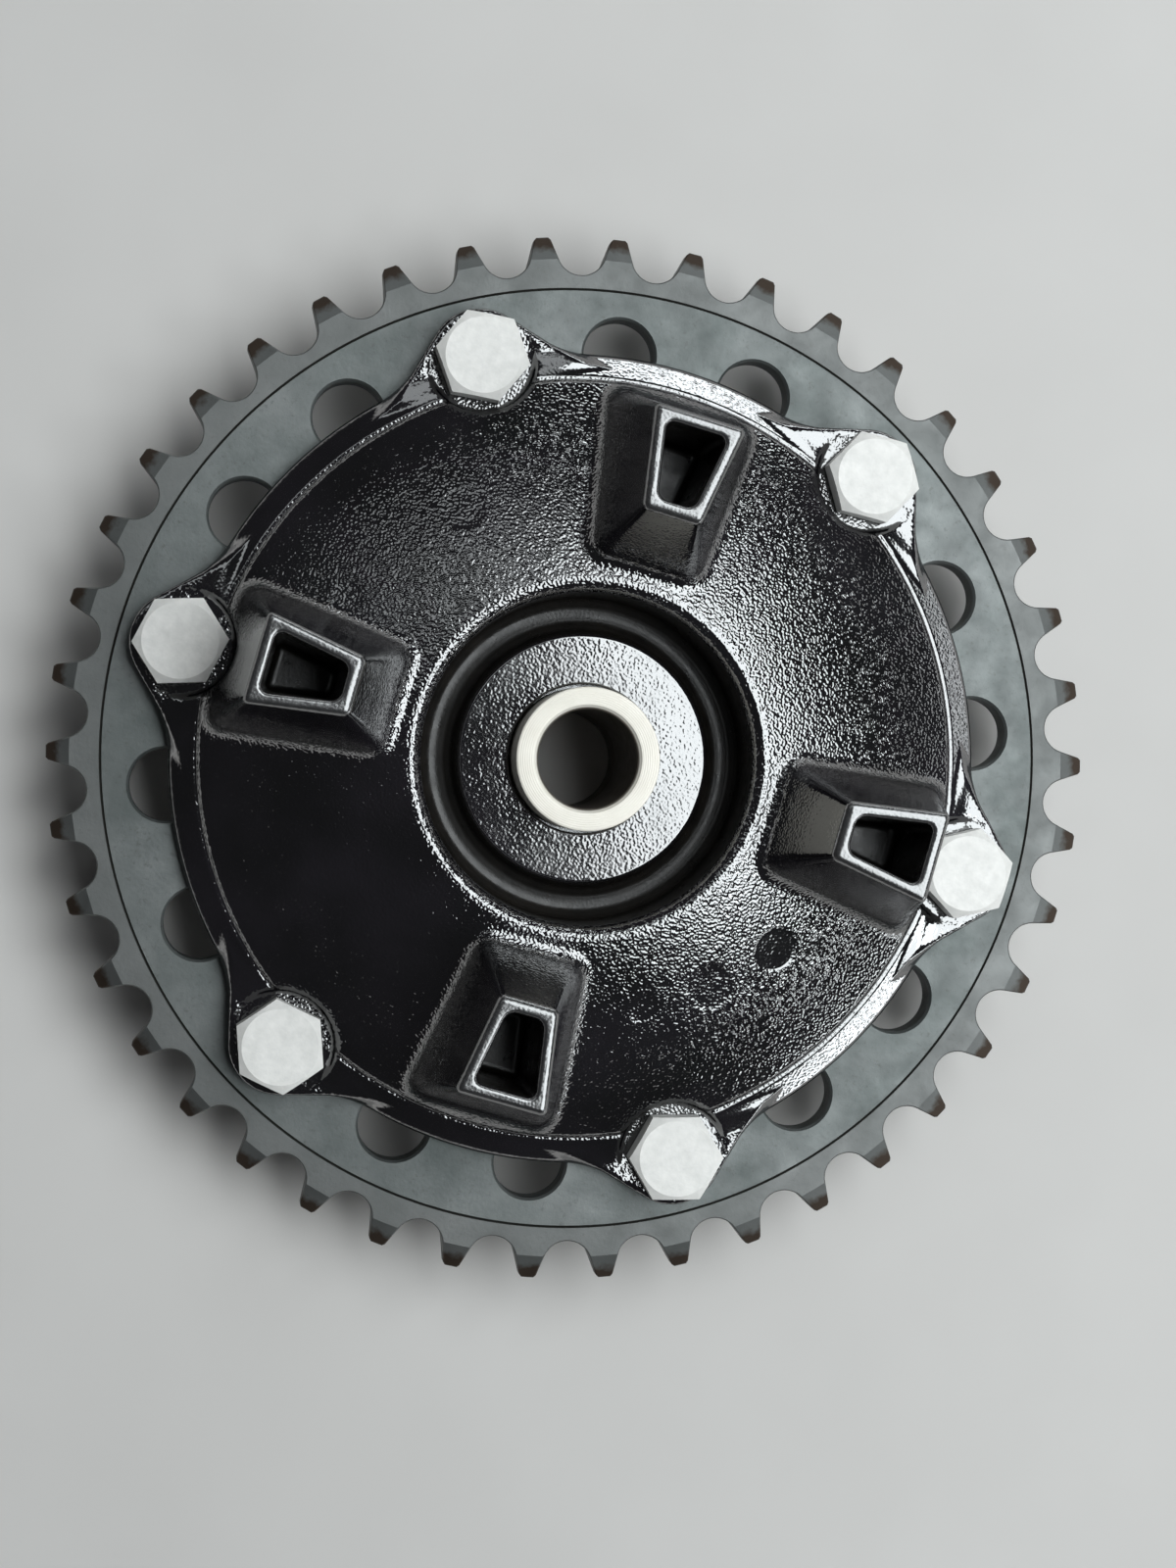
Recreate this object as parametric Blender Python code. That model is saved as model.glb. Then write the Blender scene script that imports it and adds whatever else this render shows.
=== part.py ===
"""A chain sprocket bolted to a cast carrier with four drive lugs.

The carrier turns on a ball bearing about an axle bush and collar. The axle is the Z axis, the collar's
rear face is at zero height, and the lugs point up.
"""
import math

import bmesh
import bpy
from mathutils import Matrix

MM = 0.001

# Clearances
SEAT_GAP = 0.3 * MM
RUN_GAP = 0.6 * MM

# Chain and sprocket
CHAIN_PITCH = 15.875 * MM
ROLLER_D = 10.16 * MM
ROLLER_SEAT_PLAY = 0.1 * MM
ROLLER_SEAT_ARC = math.radians(138)
TOOTH_LEAD = math.radians(-1.6)
TIP_R = 109.2 * MM
TIP_RISE_PER_ROLLER = 0.3
TIP_BEVEL = 4.8 * MM
TIP_T = 4.2 * MM
SPROCKET_T = 7.3 * MM
SPROCKET_BACK_Z = 16.0 * MM
PLATE_RIM = 24.2 * MM
PLATE_LAND = 17.0 * MM
HOLE_D = 15.0 * MM
HOLES_PER_BOLT = 3

# Bolts, washers and nuts
BOLT_COUNT = 6
BOLT_D = 10.0 * MM
BOLT_AF = 17.0 * MM
BOLT_HEAD_H = 6.4 * MM
BOLT_TIP_LENGTH = 1.5 * MM
BOLT_TURNS = [math.radians(a) for a in (29, 2, 6, 18, -10, 16)]
HEX_CHAMFER = 0.9 * MM
THREAD_CHAMFER = 1.0 * MM
WASHER_D = 20.0 * MM
WASHER_T = 1.6 * MM
NUT_AF = 17.0 * MM
NUT_H = 8.0 * MM

# Carrier casting: rim, ears and cone
FLANGE_INSET = 0.8 * MM
FLANGE_EDGE_H = 4.0 * MM
RIM_BAND = 5.0 * MM
CREASE_H = 6.6 * MM
EAR_MARGIN = 0.7 * MM
EAR_EDGE_ANGLE = math.radians(45)
EAR_T = 5.0 * MM
SPOTFACE_MARGIN = 0.8 * MM
LIP_R = 36.2 * MM
LIP_H = 24.8 * MM
LIP_ROUND = 1.2 * MM
SPIGOT_DEPTH = 4.0 * MM

# Carrier casting: groove, hub and rear pockets
GROOVE_W = 10.8 * MM
GROOVE_FLOOR_H = 6.8 * MM
GROOVE_DRAFT = 1.4 * MM
GROOVE_ROUND = 2.6 * MM
GROOVE_WALL = 4.4 * MM
HUB_FACE_H = 14.4 * MM
HUB_WALL = 6.0 * MM
HUB_REAR_Z = 2.0 * MM
HUB_CHAMFER = 1.0 * MM
CONE_WALL = 6.2 * MM
CONE_CROWN = 1.7 * MM
RIB_COUNT = 8
RIB_ANGLE = math.radians(7)

# Drive lugs
LUG_COUNT = 4
LUG_H = 46.4 * MM
LUG_LIP_LAND = 2.8 * MM
LUG_CREASE_LAND = 3.2 * MM
LUG_LEAN_IN = 10.4 * MM
LUG_LEAN_OUT = 6.4 * MM
LUG_FOOT_HALF_IN = 11.6 * MM
LUG_FOOT_HALF_OUT = 16.0 * MM
LUG_FOOT_CORNER = 4.5 * MM
LUG_TOP_HALF_IN = 5.8 * MM
LUG_TOP_HALF_OUT = 9.2 * MM
LUG_TOP_CORNER = 1.2 * MM
LUG_RIM = 2.5 * MM
LUG_POCKET_DEPTH = 27.0 * MM
LUG_POCKET_CORNER = 1.8 * MM
POCKET_CORNER_SHARE = 0.8
LUG_POCKET_DRAFT = 0.9 * MM
LUG_EMBED = 2.0 * MM

# Axle bush and collar
AXLE_BORE_D = 20.2 * MM
BUSH_D = 29.2 * MM
BUSH_TOP_H = 24.8 * MM
BUSH_CHAMFER = 0.9 * MM
COLLAR_D = 34.0 * MM
COLLAR_RIM_D = 42.0 * MM
COLLAR_RIM_T = 1.4 * MM
COLLAR_NOSE_L = 2.0 * MM

# Ball bearing
BEARING_BORE = 25.0 * MM
BEARING_OD = 52.0 * MM
BEARING_W = 15.0 * MM
BALL_D = 7.94 * MM
BALL_COUNT = 9
RACE_LAND_GAP = 5.6 * MM
BEARING_SEAL_T = 1.2 * MM
BEARING_SEAL_INSET = 0.5 * MM
CAGE_T = 2.4 * MM

# Circlip and dust seal
CIRCLIP_T = 1.7 * MM
CIRCLIP_LAND = 3.0 * MM
CIRCLIP_GROOVE = 1.4 * MM
CIRCLIP_OPENING = math.radians(34)
CIRCLIP_EYE_R = 2.6 * MM
CIRCLIP_EYE_HOLE_R = 1.1 * MM
DUST_SEAL_W = 5.6 * MM
DUST_SEAL_INSET = 0.4 * MM
DUST_SEAL_SKIN = 2.2 * MM
SEAL_SPACE = 1.0 * MM

# Facets round each turned piece
LARGE_FACETS = 48
ROUND_FACETS = 36
SMALL_FACETS = 16
HOLE_FACETS = 20
FACETS_PER_TOOTH = 3
CORNER_STEPS = 3
SEAT_STEPS = 6
EAR_STEPS = 8
RACE_STEPS = 4
POCKET_STEPS = 5
CONE_STEPS = 6

# Worked out from the sizes above: radii from the tooth tips inwards
PITCH_R_WANTED = TIP_R - TIP_RISE_PER_ROLLER * ROLLER_D
TOOTH_COUNT = round(math.pi / math.asin(CHAIN_PITCH / (2 * PITCH_R_WANTED)))
PITCH_R = CHAIN_PITCH / (2 * math.sin(math.pi / TOOTH_COUNT))
BOLT_CIRCLE_R = TIP_R - PLATE_RIM
SPROCKET_BORE_R = BOLT_CIRCLE_R - PLATE_LAND
FLANGE_R = BOLT_CIRCLE_R - FLANGE_INSET
CREASE_R = FLANGE_R - RIM_BAND
EAR_R = BOLT_AF / (2 * math.cos(math.pi / 6)) + EAR_MARGIN
HUB_FACE_R = LIP_R - GROOVE_W
LUG_FOOT_IN = LIP_R + LUG_LIP_LAND
LUG_FOOT_OUT = CREASE_R - LUG_CREASE_LAND
LUG_TOP_IN = LUG_FOOT_IN + LUG_LEAN_IN
LUG_TOP_OUT = LUG_FOOT_OUT - LUG_LEAN_OUT

# Worked out from the sizes above: heights and fits
FACE_Z = SPROCKET_BACK_Z + SPROCKET_T
FLANGE_Z = FACE_Z + SEAT_GAP
EAR_TOP_Z = FLANGE_Z + EAR_T
LIP_Z = FACE_Z + LIP_H
LUG_TOP_Z = FACE_Z + LUG_H
HUB_FACE_Z = FACE_Z + HUB_FACE_H
GROOVE_FLOOR_Z = FACE_Z + GROOVE_FLOOR_H
BUSH_TOP_Z = FACE_Z + BUSH_TOP_H
BOLT_HOLE_R = BOLT_D / 2 + SEAT_GAP
SPIGOT_R = SPROCKET_BORE_R - SEAT_GAP
SPIGOT_Z = FLANGE_Z - SPIGOT_DEPTH
CIRCLIP_BACK_Z = HUB_REAR_Z + DUST_SEAL_INSET + DUST_SEAL_W + SEAL_SPACE
CIRCLIP_TOP_Z = CIRCLIP_BACK_Z + CIRCLIP_T
BEARING_BACK_Z = CIRCLIP_TOP_Z + SEAT_GAP
BEARING_TOP_Z = BEARING_BACK_Z + BEARING_W
SEAT_R = BEARING_OD / 2 + SEAT_GAP
HUB_R = SEAT_R + HUB_WALL
RACE_MID_R = (BEARING_BORE + BEARING_OD) / 4
INNER_LAND_R = RACE_MID_R - RACE_LAND_GAP / 2
OUTER_LAND_R = RACE_MID_R + RACE_LAND_GAP / 2


def clear_scene():
    for thing in list(bpy.data.objects):
        bpy.data.objects.remove(thing, do_unlink=True)


def paint(name, colour, roughness, metallic):
    material = bpy.data.materials.new(name)
    material.use_nodes = True
    shader = material.node_tree.nodes["Principled BSDF"]
    shader.inputs["Base Color"].default_value = (*colour, 1.0)
    shader.inputs["Roughness"].default_value = roughness
    shader.inputs["Metallic"].default_value = metallic
    return material


def pivot(name, parent=None):
    """Empty on the axle that carries the pieces which turn together."""
    empty = bpy.data.objects.new(name, None)
    bpy.context.scene.collection.objects.link(empty)
    empty.parent = parent
    return empty


def piece(name, shape, material, parent, place=(0, 0, 0), turn=0.0):
    """One named object from a bmesh, smooth shaded between its sharp edges."""
    bmesh.ops.recalc_face_normals(shape, faces=shape.faces)
    mesh = bpy.data.meshes.new(name)
    shape.to_mesh(mesh)
    shape.free()
    mesh.materials.append(material)
    mesh.shade_smooth()
    mesh.set_sharp_from_angle(angle=math.radians(32))
    return placed(name, mesh, parent, place, turn)


def placed(name, mesh, parent, place=(0, 0, 0), turn=0.0):
    thing = bpy.data.objects.new(name, mesh)
    bpy.context.scene.collection.objects.link(thing)
    thing.parent = parent
    thing.location = place
    thing.rotation_euler = (0, 0, turn)
    return thing


def cutter(name, shape, parent):
    """Hidden helper body for a boolean."""
    bmesh.ops.recalc_face_normals(shape, faces=shape.faces)
    mesh = bpy.data.meshes.new(name)
    shape.to_mesh(mesh)
    shape.free()
    helper = placed(name, mesh, parent)
    helper.hide_render = True
    helper.display_type = 'WIRE'
    return helper


def combine(target, helper, operation):
    step = target.modifiers.new(helper.name, 'BOOLEAN')
    step.operation = operation
    step.solver = 'EXACT'
    step.object = helper


def angles(count, lead=0.0):
    return [lead + 2 * math.pi * k / count for k in range(count)]


def on_circle(radius, angle):
    return radius * math.cos(angle), radius * math.sin(angle)


def ring(shape, profile, facets):
    """Full turn of a closed (radius, height) profile about Z."""
    verts = [shape.verts.new((r, 0, z)) for r, z in profile]
    edges = [shape.edges.new((verts[k - 1], verts[k])) for k in range(len(verts))]
    bmesh.ops.spin(shape, geom=verts + edges, cent=(0, 0, 0), axis=(0, 0, 1),
                   angle=2 * math.pi, steps=facets, use_merge=True)


def sector(shape, profile, start, sweep, steps):
    """Part turn of a closed (radius, height) profile about Z, closed at both ends."""
    verts = [shape.verts.new((r * math.cos(start), r * math.sin(start), z)) for r, z in profile]
    edges = [shape.edges.new((verts[k - 1], verts[k])) for k in range(len(verts))]
    swept = bmesh.ops.spin(shape, geom=verts + edges, cent=(0, 0, 0), axis=(0, 0, 1),
                           angle=sweep, steps=steps)
    last = [item for item in swept["geom_last"] if isinstance(item, bmesh.types.BMVert)]
    shape.faces.new(verts)
    shape.faces.new(last)


def loft(shape, low, high):
    """Closed body between two loops with the same count of points."""
    low_verts = [shape.verts.new(point) for point in low]
    high_verts = [shape.verts.new(point) for point in high]
    count = len(low)
    for k in range(count):
        j = (k + 1) % count
        shape.faces.new((low_verts[k], low_verts[j], high_verts[j], high_verts[k]))
    shape.faces.new(low_verts[::-1])
    shape.faces.new(high_verts)


def prism(shape, outline, low, high):
    loft(shape, [(x, y, low) for x, y in outline], [(x, y, high) for x, y in outline])


def disc_outline(centre, radius, facets):
    return [(centre[0] + radius * math.cos(a), centre[1] + radius * math.sin(a))
            for a in angles(facets)]


def turn_outline(outline, angle):
    c, s = math.cos(angle), math.sin(angle)
    return [(x * c - y * s, x * s + y * c) for x, y in outline]


def rounded(corners, radius):
    """Outline through the corners of a convex polygon, each rounded by an arc."""
    outline = []
    count = len(corners)
    for k in range(count):
        x, y = corners[k]
        before, after = corners[k - 1], corners[(k + 1) % count]
        to_before = math.atan2(before[1] - y, before[0] - x)
        to_after = math.atan2(after[1] - y, after[0] - x)
        opening = (to_before - to_after) % (2 * math.pi)
        middle = to_after + opening / 2
        reach = radius / math.sin(opening / 2)
        centre = (x + reach * math.cos(middle), y + reach * math.sin(middle))
        sweep = math.pi - opening
        for step in range(CORNER_STEPS + 1):
            a = middle + math.pi - sweep / 2 + sweep * step / CORNER_STEPS
            outline.append((centre[0] + radius * math.cos(a), centre[1] + radius * math.sin(a)))
    return outline


def tapered_corners(inner, outer, half_inner, half_outer, inset=0.0):
    """Four corners of a lug's outline, drawn in by an even inset on every side."""
    slope = (half_outer - half_inner) / (outer - inner)
    side = inset * math.hypot(1, slope)
    near = half_inner + slope * inset - side
    far = half_outer - slope * inset - side
    return [(inner + inset, -near), (outer - inset, -far), (outer - inset, far), (inner + inset, near)]


def cone_z(radius):
    """Height of the carrier's outer cone, slightly domed between its crease and its lip."""
    share = (CREASE_R - radius) / (CREASE_R - LIP_R)
    straight = FLANGE_Z + CREASE_H + share * (LIP_Z - FLANGE_Z - CREASE_H)
    return straight + 4 * CONE_CROWN * share * (1 - share)


def tooth_gap():
    """Outline of one gap between teeth: the roller's seat and two straight flanks."""
    seat_r = ROLLER_D / 2 + ROLLER_SEAT_PLAY / 2
    half = ROLLER_SEAT_ARC / 2
    outline = []
    for k in range(SEAT_STEPS + 1):
        a = half - 2 * half * k / SEAT_STEPS
        outline.append((PITCH_R - seat_r * math.cos(a), seat_r * math.sin(a)))
    first, last = outline[0], outline[-1]
    run = TIP_R + SEAT_GAP - first[0]
    rise = run / math.tan(half)
    return [(first[0] + run, first[1] + rise)] + outline + [(last[0] + run, last[1] - rise)]


def make_sprocket(material, parent):
    low, high = SPROCKET_BACK_Z, FACE_Z
    bevel = (SPROCKET_T - TIP_T) / 2
    blank = bmesh.new()
    bevel_r = TIP_R - TIP_BEVEL
    ring(blank, [(SPROCKET_BORE_R, high), (bevel_r, high), (TIP_R, high - bevel),
                 (TIP_R, low + bevel), (bevel_r, low), (SPROCKET_BORE_R, low)],
         FACETS_PER_TOOTH * TOOTH_COUNT)
    sprocket = piece("sprocket", blank, material, parent)

    gaps = bmesh.new()
    half_pitch = math.pi / TOOTH_COUNT
    for angle in angles(TOOTH_COUNT, TOOTH_LEAD + half_pitch):
        prism(gaps, turn_outline(tooth_gap(), angle), low - SPROCKET_T, high + SPROCKET_T)
    combine(sprocket, cutter("tooth_gaps", gaps, parent), 'DIFFERENCE')

    holes = bmesh.new()
    for index, angle in enumerate(angles(BOLT_COUNT * HOLES_PER_BOLT)):
        bolted = index % HOLES_PER_BOLT == 0
        centre = on_circle(BOLT_CIRCLE_R, angle)
        radius = BOLT_HOLE_R if bolted else HOLE_D / 2
        facets = SMALL_FACETS if bolted else HOLE_FACETS
        prism(holes, disc_outline(centre, radius, facets), low - SPROCKET_T, high + SPROCKET_T)
    combine(sprocket, cutter("sprocket_holes", holes, parent), 'DIFFERENCE')


def carrier_profile():
    """Half section of the casting before the lugs, ears and pockets, from the hub's face outwards."""
    hole_r = BUSH_D / 2 + RUN_GAP
    shoulder_r = OUTER_LAND_R
    shoulder_z = BEARING_TOP_Z + SEAT_GAP
    recess_z = shoulder_z + RUN_GAP + BEARING_SEAL_T
    clip_r = SEAT_R + CIRCLIP_GROOVE
    clip_low = CIRCLIP_BACK_Z - SEAT_GAP
    clip_high = CIRCLIP_TOP_Z + SEAT_GAP
    floor_in = HUB_FACE_R + GROOVE_DRAFT
    floor_out = LIP_R - GROOVE_DRAFT
    dome = [LIP_R + (CREASE_R - LIP_R) * k / CONE_STEPS for k in range(1, CONE_STEPS)]
    return [
        (hole_r, HUB_FACE_Z),
        (HUB_FACE_R, HUB_FACE_Z),
        (floor_in, GROOVE_FLOOR_Z + GROOVE_ROUND),
        (floor_in + GROOVE_ROUND, GROOVE_FLOOR_Z),
        (floor_out - GROOVE_ROUND, GROOVE_FLOOR_Z),
        (floor_out, GROOVE_FLOOR_Z + GROOVE_ROUND),
        (LIP_R - LIP_ROUND, LIP_Z - LIP_ROUND),
        (LIP_R, LIP_Z),
        *((radius, cone_z(radius)) for radius in dome),
        (CREASE_R, FLANGE_Z + CREASE_H),
        (FLANGE_R, FLANGE_Z + FLANGE_EDGE_H),
        (FLANGE_R, FLANGE_Z),
        (SPIGOT_R, FLANGE_Z),
        (SPIGOT_R, SPIGOT_Z),
        (HUB_R, SPIGOT_Z),
        (HUB_R, HUB_REAR_Z + HUB_CHAMFER),
        (HUB_R - HUB_CHAMFER, HUB_REAR_Z),
        (SEAT_R, HUB_REAR_Z),
        (SEAT_R, clip_low),
        (clip_r, clip_low),
        (clip_r, clip_high),
        (SEAT_R, clip_high),
        (SEAT_R, shoulder_z),
        (shoulder_r, shoulder_z),
        (shoulder_r, recess_z),
        (hole_r, recess_z),
    ]


def ear_outline():
    """Teardrop of one bolt ear on +X, its root well inside the rim."""
    outline = []
    for k in range(EAR_STEPS + 1):
        a = -EAR_EDGE_ANGLE + 2 * EAR_EDGE_ANGLE * k / EAR_STEPS
        outline.append((BOLT_CIRCLE_R + EAR_R * math.cos(a), EAR_R * math.sin(a)))
    x, y = outline[-1]
    root_x = SPROCKET_BORE_R
    root_y = y + (x - root_x) * math.tan(math.pi / 2 - EAR_EDGE_ANGLE)
    return outline + [(root_x, root_y), (root_x, -root_y)]


def make_carrier(material, parent):
    body = bmesh.new()
    ring(body, carrier_profile(), LARGE_FACETS)
    carrier = piece("carrier", body, material, parent)

    ears = bmesh.new()
    for angle in angles(BOLT_COUNT):
        prism(ears, turn_outline(ear_outline(), angle), FLANGE_Z, EAR_TOP_Z)
    combine(carrier, cutter("ears", ears, parent), 'UNION')

    lugs = bmesh.new()
    pockets = bmesh.new()
    for angle in angles(LUG_COUNT):
        add_lug(lugs, angle)
        add_lug_pocket(pockets, angle)
    combine(carrier, cutter("lugs", lugs, parent), 'UNION')
    combine(carrier, cutter("lug_pockets", pockets, parent), 'DIFFERENCE')

    rear = bmesh.new()
    pocket_in = LIP_R + GROOVE_WALL
    pocket_out = SPIGOT_R - CONE_WALL
    low = SPIGOT_Z - SPIGOT_DEPTH
    profile = [(pocket_in, low), (pocket_out, low), (pocket_out, cone_z(pocket_out) - CONE_WALL),
               (pocket_in, cone_z(pocket_in) - CONE_WALL)]
    pitch = 2 * math.pi / RIB_COUNT
    for angle in angles(RIB_COUNT, RIB_ANGLE / 2):
        sector(rear, profile, angle, pitch - RIB_ANGLE, POCKET_STEPS)
    combine(carrier, cutter("rear_pockets", rear, parent), 'DIFFERENCE')

    faces = bmesh.new()
    holes = bmesh.new()
    for angle in angles(BOLT_COUNT):
        centre = on_circle(BOLT_CIRCLE_R, angle)
        prism(faces, disc_outline(centre, EAR_R + SPOTFACE_MARGIN, HOLE_FACETS), EAR_TOP_Z, LUG_TOP_Z)
        prism(holes, disc_outline(centre, BOLT_HOLE_R, SMALL_FACETS), SPIGOT_Z, LIP_Z)
    combine(carrier, cutter("spotfaces", faces, parent), 'DIFFERENCE')
    combine(carrier, cutter("ear_holes", holes, parent), 'DIFFERENCE')


def add_lug(shape, angle):
    """Tapered lug whose foot follows the cone, a little below its surface."""
    foot = rounded(tapered_corners(LUG_FOOT_IN, LUG_FOOT_OUT, LUG_FOOT_HALF_IN, LUG_FOOT_HALF_OUT),
                   LUG_FOOT_CORNER)
    top = rounded(tapered_corners(LUG_TOP_IN, LUG_TOP_OUT, LUG_TOP_HALF_IN, LUG_TOP_HALF_OUT),
                  LUG_TOP_CORNER)
    depths = [cone_z(math.hypot(x, y)) - LUG_EMBED for x, y in foot]
    low = [(x, y, z) for (x, y), z in zip(turn_outline(foot, angle), depths)]
    high = [(x, y, LUG_TOP_Z) for x, y in turn_outline(top, angle)]
    loft(shape, low, high)


def add_lug_pocket(shape, angle):
    """Hollow in a lug's top, drafted towards its floor."""
    sizes = (LUG_TOP_IN, LUG_TOP_OUT, LUG_TOP_HALF_IN, LUG_TOP_HALF_OUT)
    mouth_corners = tapered_corners(*sizes, LUG_RIM)
    floor_corners = tapered_corners(*sizes, LUG_RIM + LUG_POCKET_DRAFT)
    half_length = (floor_corners[1][0] - floor_corners[0][0]) / 2
    narrow = min(half_length, floor_corners[3][1])
    corner = min(LUG_POCKET_CORNER, narrow * POCKET_CORNER_SHARE)
    mouth = turn_outline(rounded(mouth_corners, corner), angle)
    floor = turn_outline(rounded(floor_corners, corner), angle)
    loft(shape, [(x, y, LUG_TOP_Z - LUG_POCKET_DEPTH) for x, y in floor],
         [(x, y, LUG_TOP_Z + LUG_RIM) for x, y in mouth])


def hexagon(across_flats, inset=0.0):
    corner = (across_flats / 2 - inset) / math.cos(math.pi / 6)
    return [on_circle(corner, a) for a in angles(6)]


def bolt_shape(reach):
    """Hex screw standing on its tip, the underside of its head at zero height."""
    shape = bmesh.new()
    radius = BOLT_D / 2
    levels = [
        (disc_outline((0, 0), radius - THREAD_CHAMFER, SMALL_FACETS), -reach),
        (disc_outline((0, 0), radius, SMALL_FACETS), THREAD_CHAMFER - reach),
        (disc_outline((0, 0), radius, SMALL_FACETS), 0.0),
    ]
    rings = [[shape.verts.new((x, y, z)) for x, y in outline] for outline, z in levels]
    shape.faces.new(rings[0][::-1])
    for lower, upper in zip(rings, rings[1:]):
        bridge(shape, lower, upper)
    head = [(hexagon(BOLT_AF), 0.0), (hexagon(BOLT_AF), BOLT_HEAD_H - HEX_CHAMFER),
            (hexagon(BOLT_AF, HEX_CHAMFER), BOLT_HEAD_H)]
    loops = [[shape.verts.new((x, y, z)) for x, y in outline] for outline, z in head]
    for lower, upper in zip(loops, loops[1:]):
        bridge(shape, lower, upper)
    shape.faces.new(loops[-1])
    join_loops(shape, rings[-1], loops[0])
    return shape


def bridge(shape, lower, upper):
    count = len(lower)
    for k in range(count):
        j = (k + 1) % count
        shape.faces.new((lower[k], lower[j], upper[j], upper[k]))


def join_loops(shape, first, second):
    """Flat faces between two loops of unlike counts in one plane."""
    edges = []
    for loop in (first, second):
        edges += [edge for edge in shape.edges if all(vert in loop for vert in edge.verts)]
    bmesh.ops.bridge_loops(shape, edges=edges)


def nut_shape():
    """Hex nut with its bore, its bearing face at zero height and its rear below."""
    shape = bmesh.new()
    levels = [(hexagon(NUT_AF), 0.0), (hexagon(NUT_AF), HEX_CHAMFER - NUT_H),
              (hexagon(NUT_AF, HEX_CHAMFER), -NUT_H)]
    outer = [[shape.verts.new((x, y, z)) for x, y in outline] for outline, z in levels]
    for upper, lower in zip(outer, outer[1:]):
        bridge(shape, lower, upper)
    bore = disc_outline((0, 0), BOLT_HOLE_R, SMALL_FACETS)
    inner = [[shape.verts.new((x, y, z)) for x, y in bore] for z in (0.0, -NUT_H)]
    bridge(shape, inner[0], inner[1])
    join_loops(shape, inner[0], outer[0])
    join_loops(shape, inner[1], outer[-1])
    return shape


def make_fasteners(material, parent):
    head_z = EAR_TOP_Z + SEAT_GAP
    washer_z = SPROCKET_BACK_Z - SEAT_GAP
    nut_z = washer_z - WASHER_T - SEAT_GAP
    reach = head_z - nut_z + NUT_H + BOLT_TIP_LENGTH
    for index, angle in enumerate(angles(BOLT_COUNT)):
        x, y = on_circle(BOLT_CIRCLE_R, angle)
        head_turn = angle + BOLT_TURNS[index % len(BOLT_TURNS)]
        nut_turn = angle - BOLT_TURNS[index % len(BOLT_TURNS)]
        washer = bmesh.new()
        ring(washer, [(BOLT_HOLE_R, 0), (WASHER_D / 2, 0), (WASHER_D / 2, -WASHER_T),
                      (BOLT_HOLE_R, -WASHER_T)], SMALL_FACETS)
        number = index + 1
        piece(f"bolt_{number}", bolt_shape(reach), material, parent, (x, y, head_z), head_turn)
        piece(f"washer_{number}", washer, material, parent, (x, y, washer_z), angle)
        piece(f"nut_{number}", nut_shape(), material, parent, (x, y, nut_z), nut_turn)


def race_groove(direction):
    """Arc of a ball race about the ring's middle, from its rear land to its front land."""
    radius = BALL_D / 2 + SEAT_GAP
    half = math.acos((RACE_LAND_GAP / 2) / radius)
    middle = BEARING_BACK_Z + BEARING_W / 2
    arc = []
    for k in range(RACE_STEPS + 1):
        a = -half + 2 * half * k / RACE_STEPS
        arc.append((RACE_MID_R + direction * radius * math.cos(a), middle + radius * math.sin(a)))
    return arc


def make_bearing(steel, rubber, brass, still, turning, rolling):
    low, high = BEARING_BACK_Z, BEARING_TOP_Z
    outer = bmesh.new()
    outer_r = BEARING_OD / 2
    ring(outer, [(outer_r, high), (outer_r, low), (OUTER_LAND_R, low)] + race_groove(1)
         + [(OUTER_LAND_R, high)], ROUND_FACETS)
    piece("bearing_outer_ring", outer, steel, turning)

    inner = bmesh.new()
    inner_r = BEARING_BORE / 2
    ring(inner, [(INNER_LAND_R, low)] + race_groove(-1) + [(INNER_LAND_R, high), (inner_r, high),
                                                          (inner_r, low)], ROUND_FACETS)
    piece("bearing_inner_ring", inner, steel, still)

    front = high - BEARING_SEAL_INSET
    rear = low + BEARING_SEAL_INSET + BEARING_SEAL_T
    for name, top in (("bearing_seal_front", front), ("bearing_seal_rear", rear)):
        disc = bmesh.new()
        ring(disc, [(INNER_LAND_R + SEAT_GAP, top), (OUTER_LAND_R - SEAT_GAP, top),
                    (OUTER_LAND_R - SEAT_GAP, top - BEARING_SEAL_T),
                    (INNER_LAND_R + SEAT_GAP, top - BEARING_SEAL_T)], ROUND_FACETS)
        piece(name, disc, rubber, turning)

    middle = (low + high) / 2
    make_cage(brass, rolling, middle)
    ball = bmesh.new()
    bmesh.ops.create_icosphere(ball, subdivisions=2, radius=BALL_D / 2)
    for index, angle in enumerate(angles(BALL_COUNT), start=1):
        x, y = on_circle(RACE_MID_R, angle)
        piece(f"bearing_ball_{index}", ball.copy(), steel, rolling, (x, y, middle))
    ball.free()


def make_cage(material, parent, middle):
    """Ring between the races with one round pocket for each ball."""
    half = BEARING_W / 2 - BEARING_SEAL_INSET - BEARING_SEAL_T - SEAT_GAP
    inner, outer = RACE_MID_R - CAGE_T / 2, RACE_MID_R + CAGE_T / 2
    hoop = bmesh.new()
    ring(hoop, [(inner, middle + half), (outer, middle + half), (outer, middle - half),
                (inner, middle - half)], ROUND_FACETS)
    cage = piece("bearing_cage", hoop, material, parent)
    pockets = bmesh.new()
    for angle in angles(BALL_COUNT):
        bmesh.ops.create_cone(pockets, cap_ends=True, segments=SMALL_FACETS, depth=2 * CAGE_T,
                              radius1=BALL_D / 2 + SEAT_GAP, radius2=BALL_D / 2 + SEAT_GAP,
                              matrix=Matrix.Rotation(angle, 4, 'Z')
                              @ Matrix.Translation((RACE_MID_R, 0, middle))
                              @ Matrix.Rotation(math.pi / 2, 4, 'Y'))
    combine(cage, cutter("cage_pockets", pockets, parent), 'DIFFERENCE')


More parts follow.
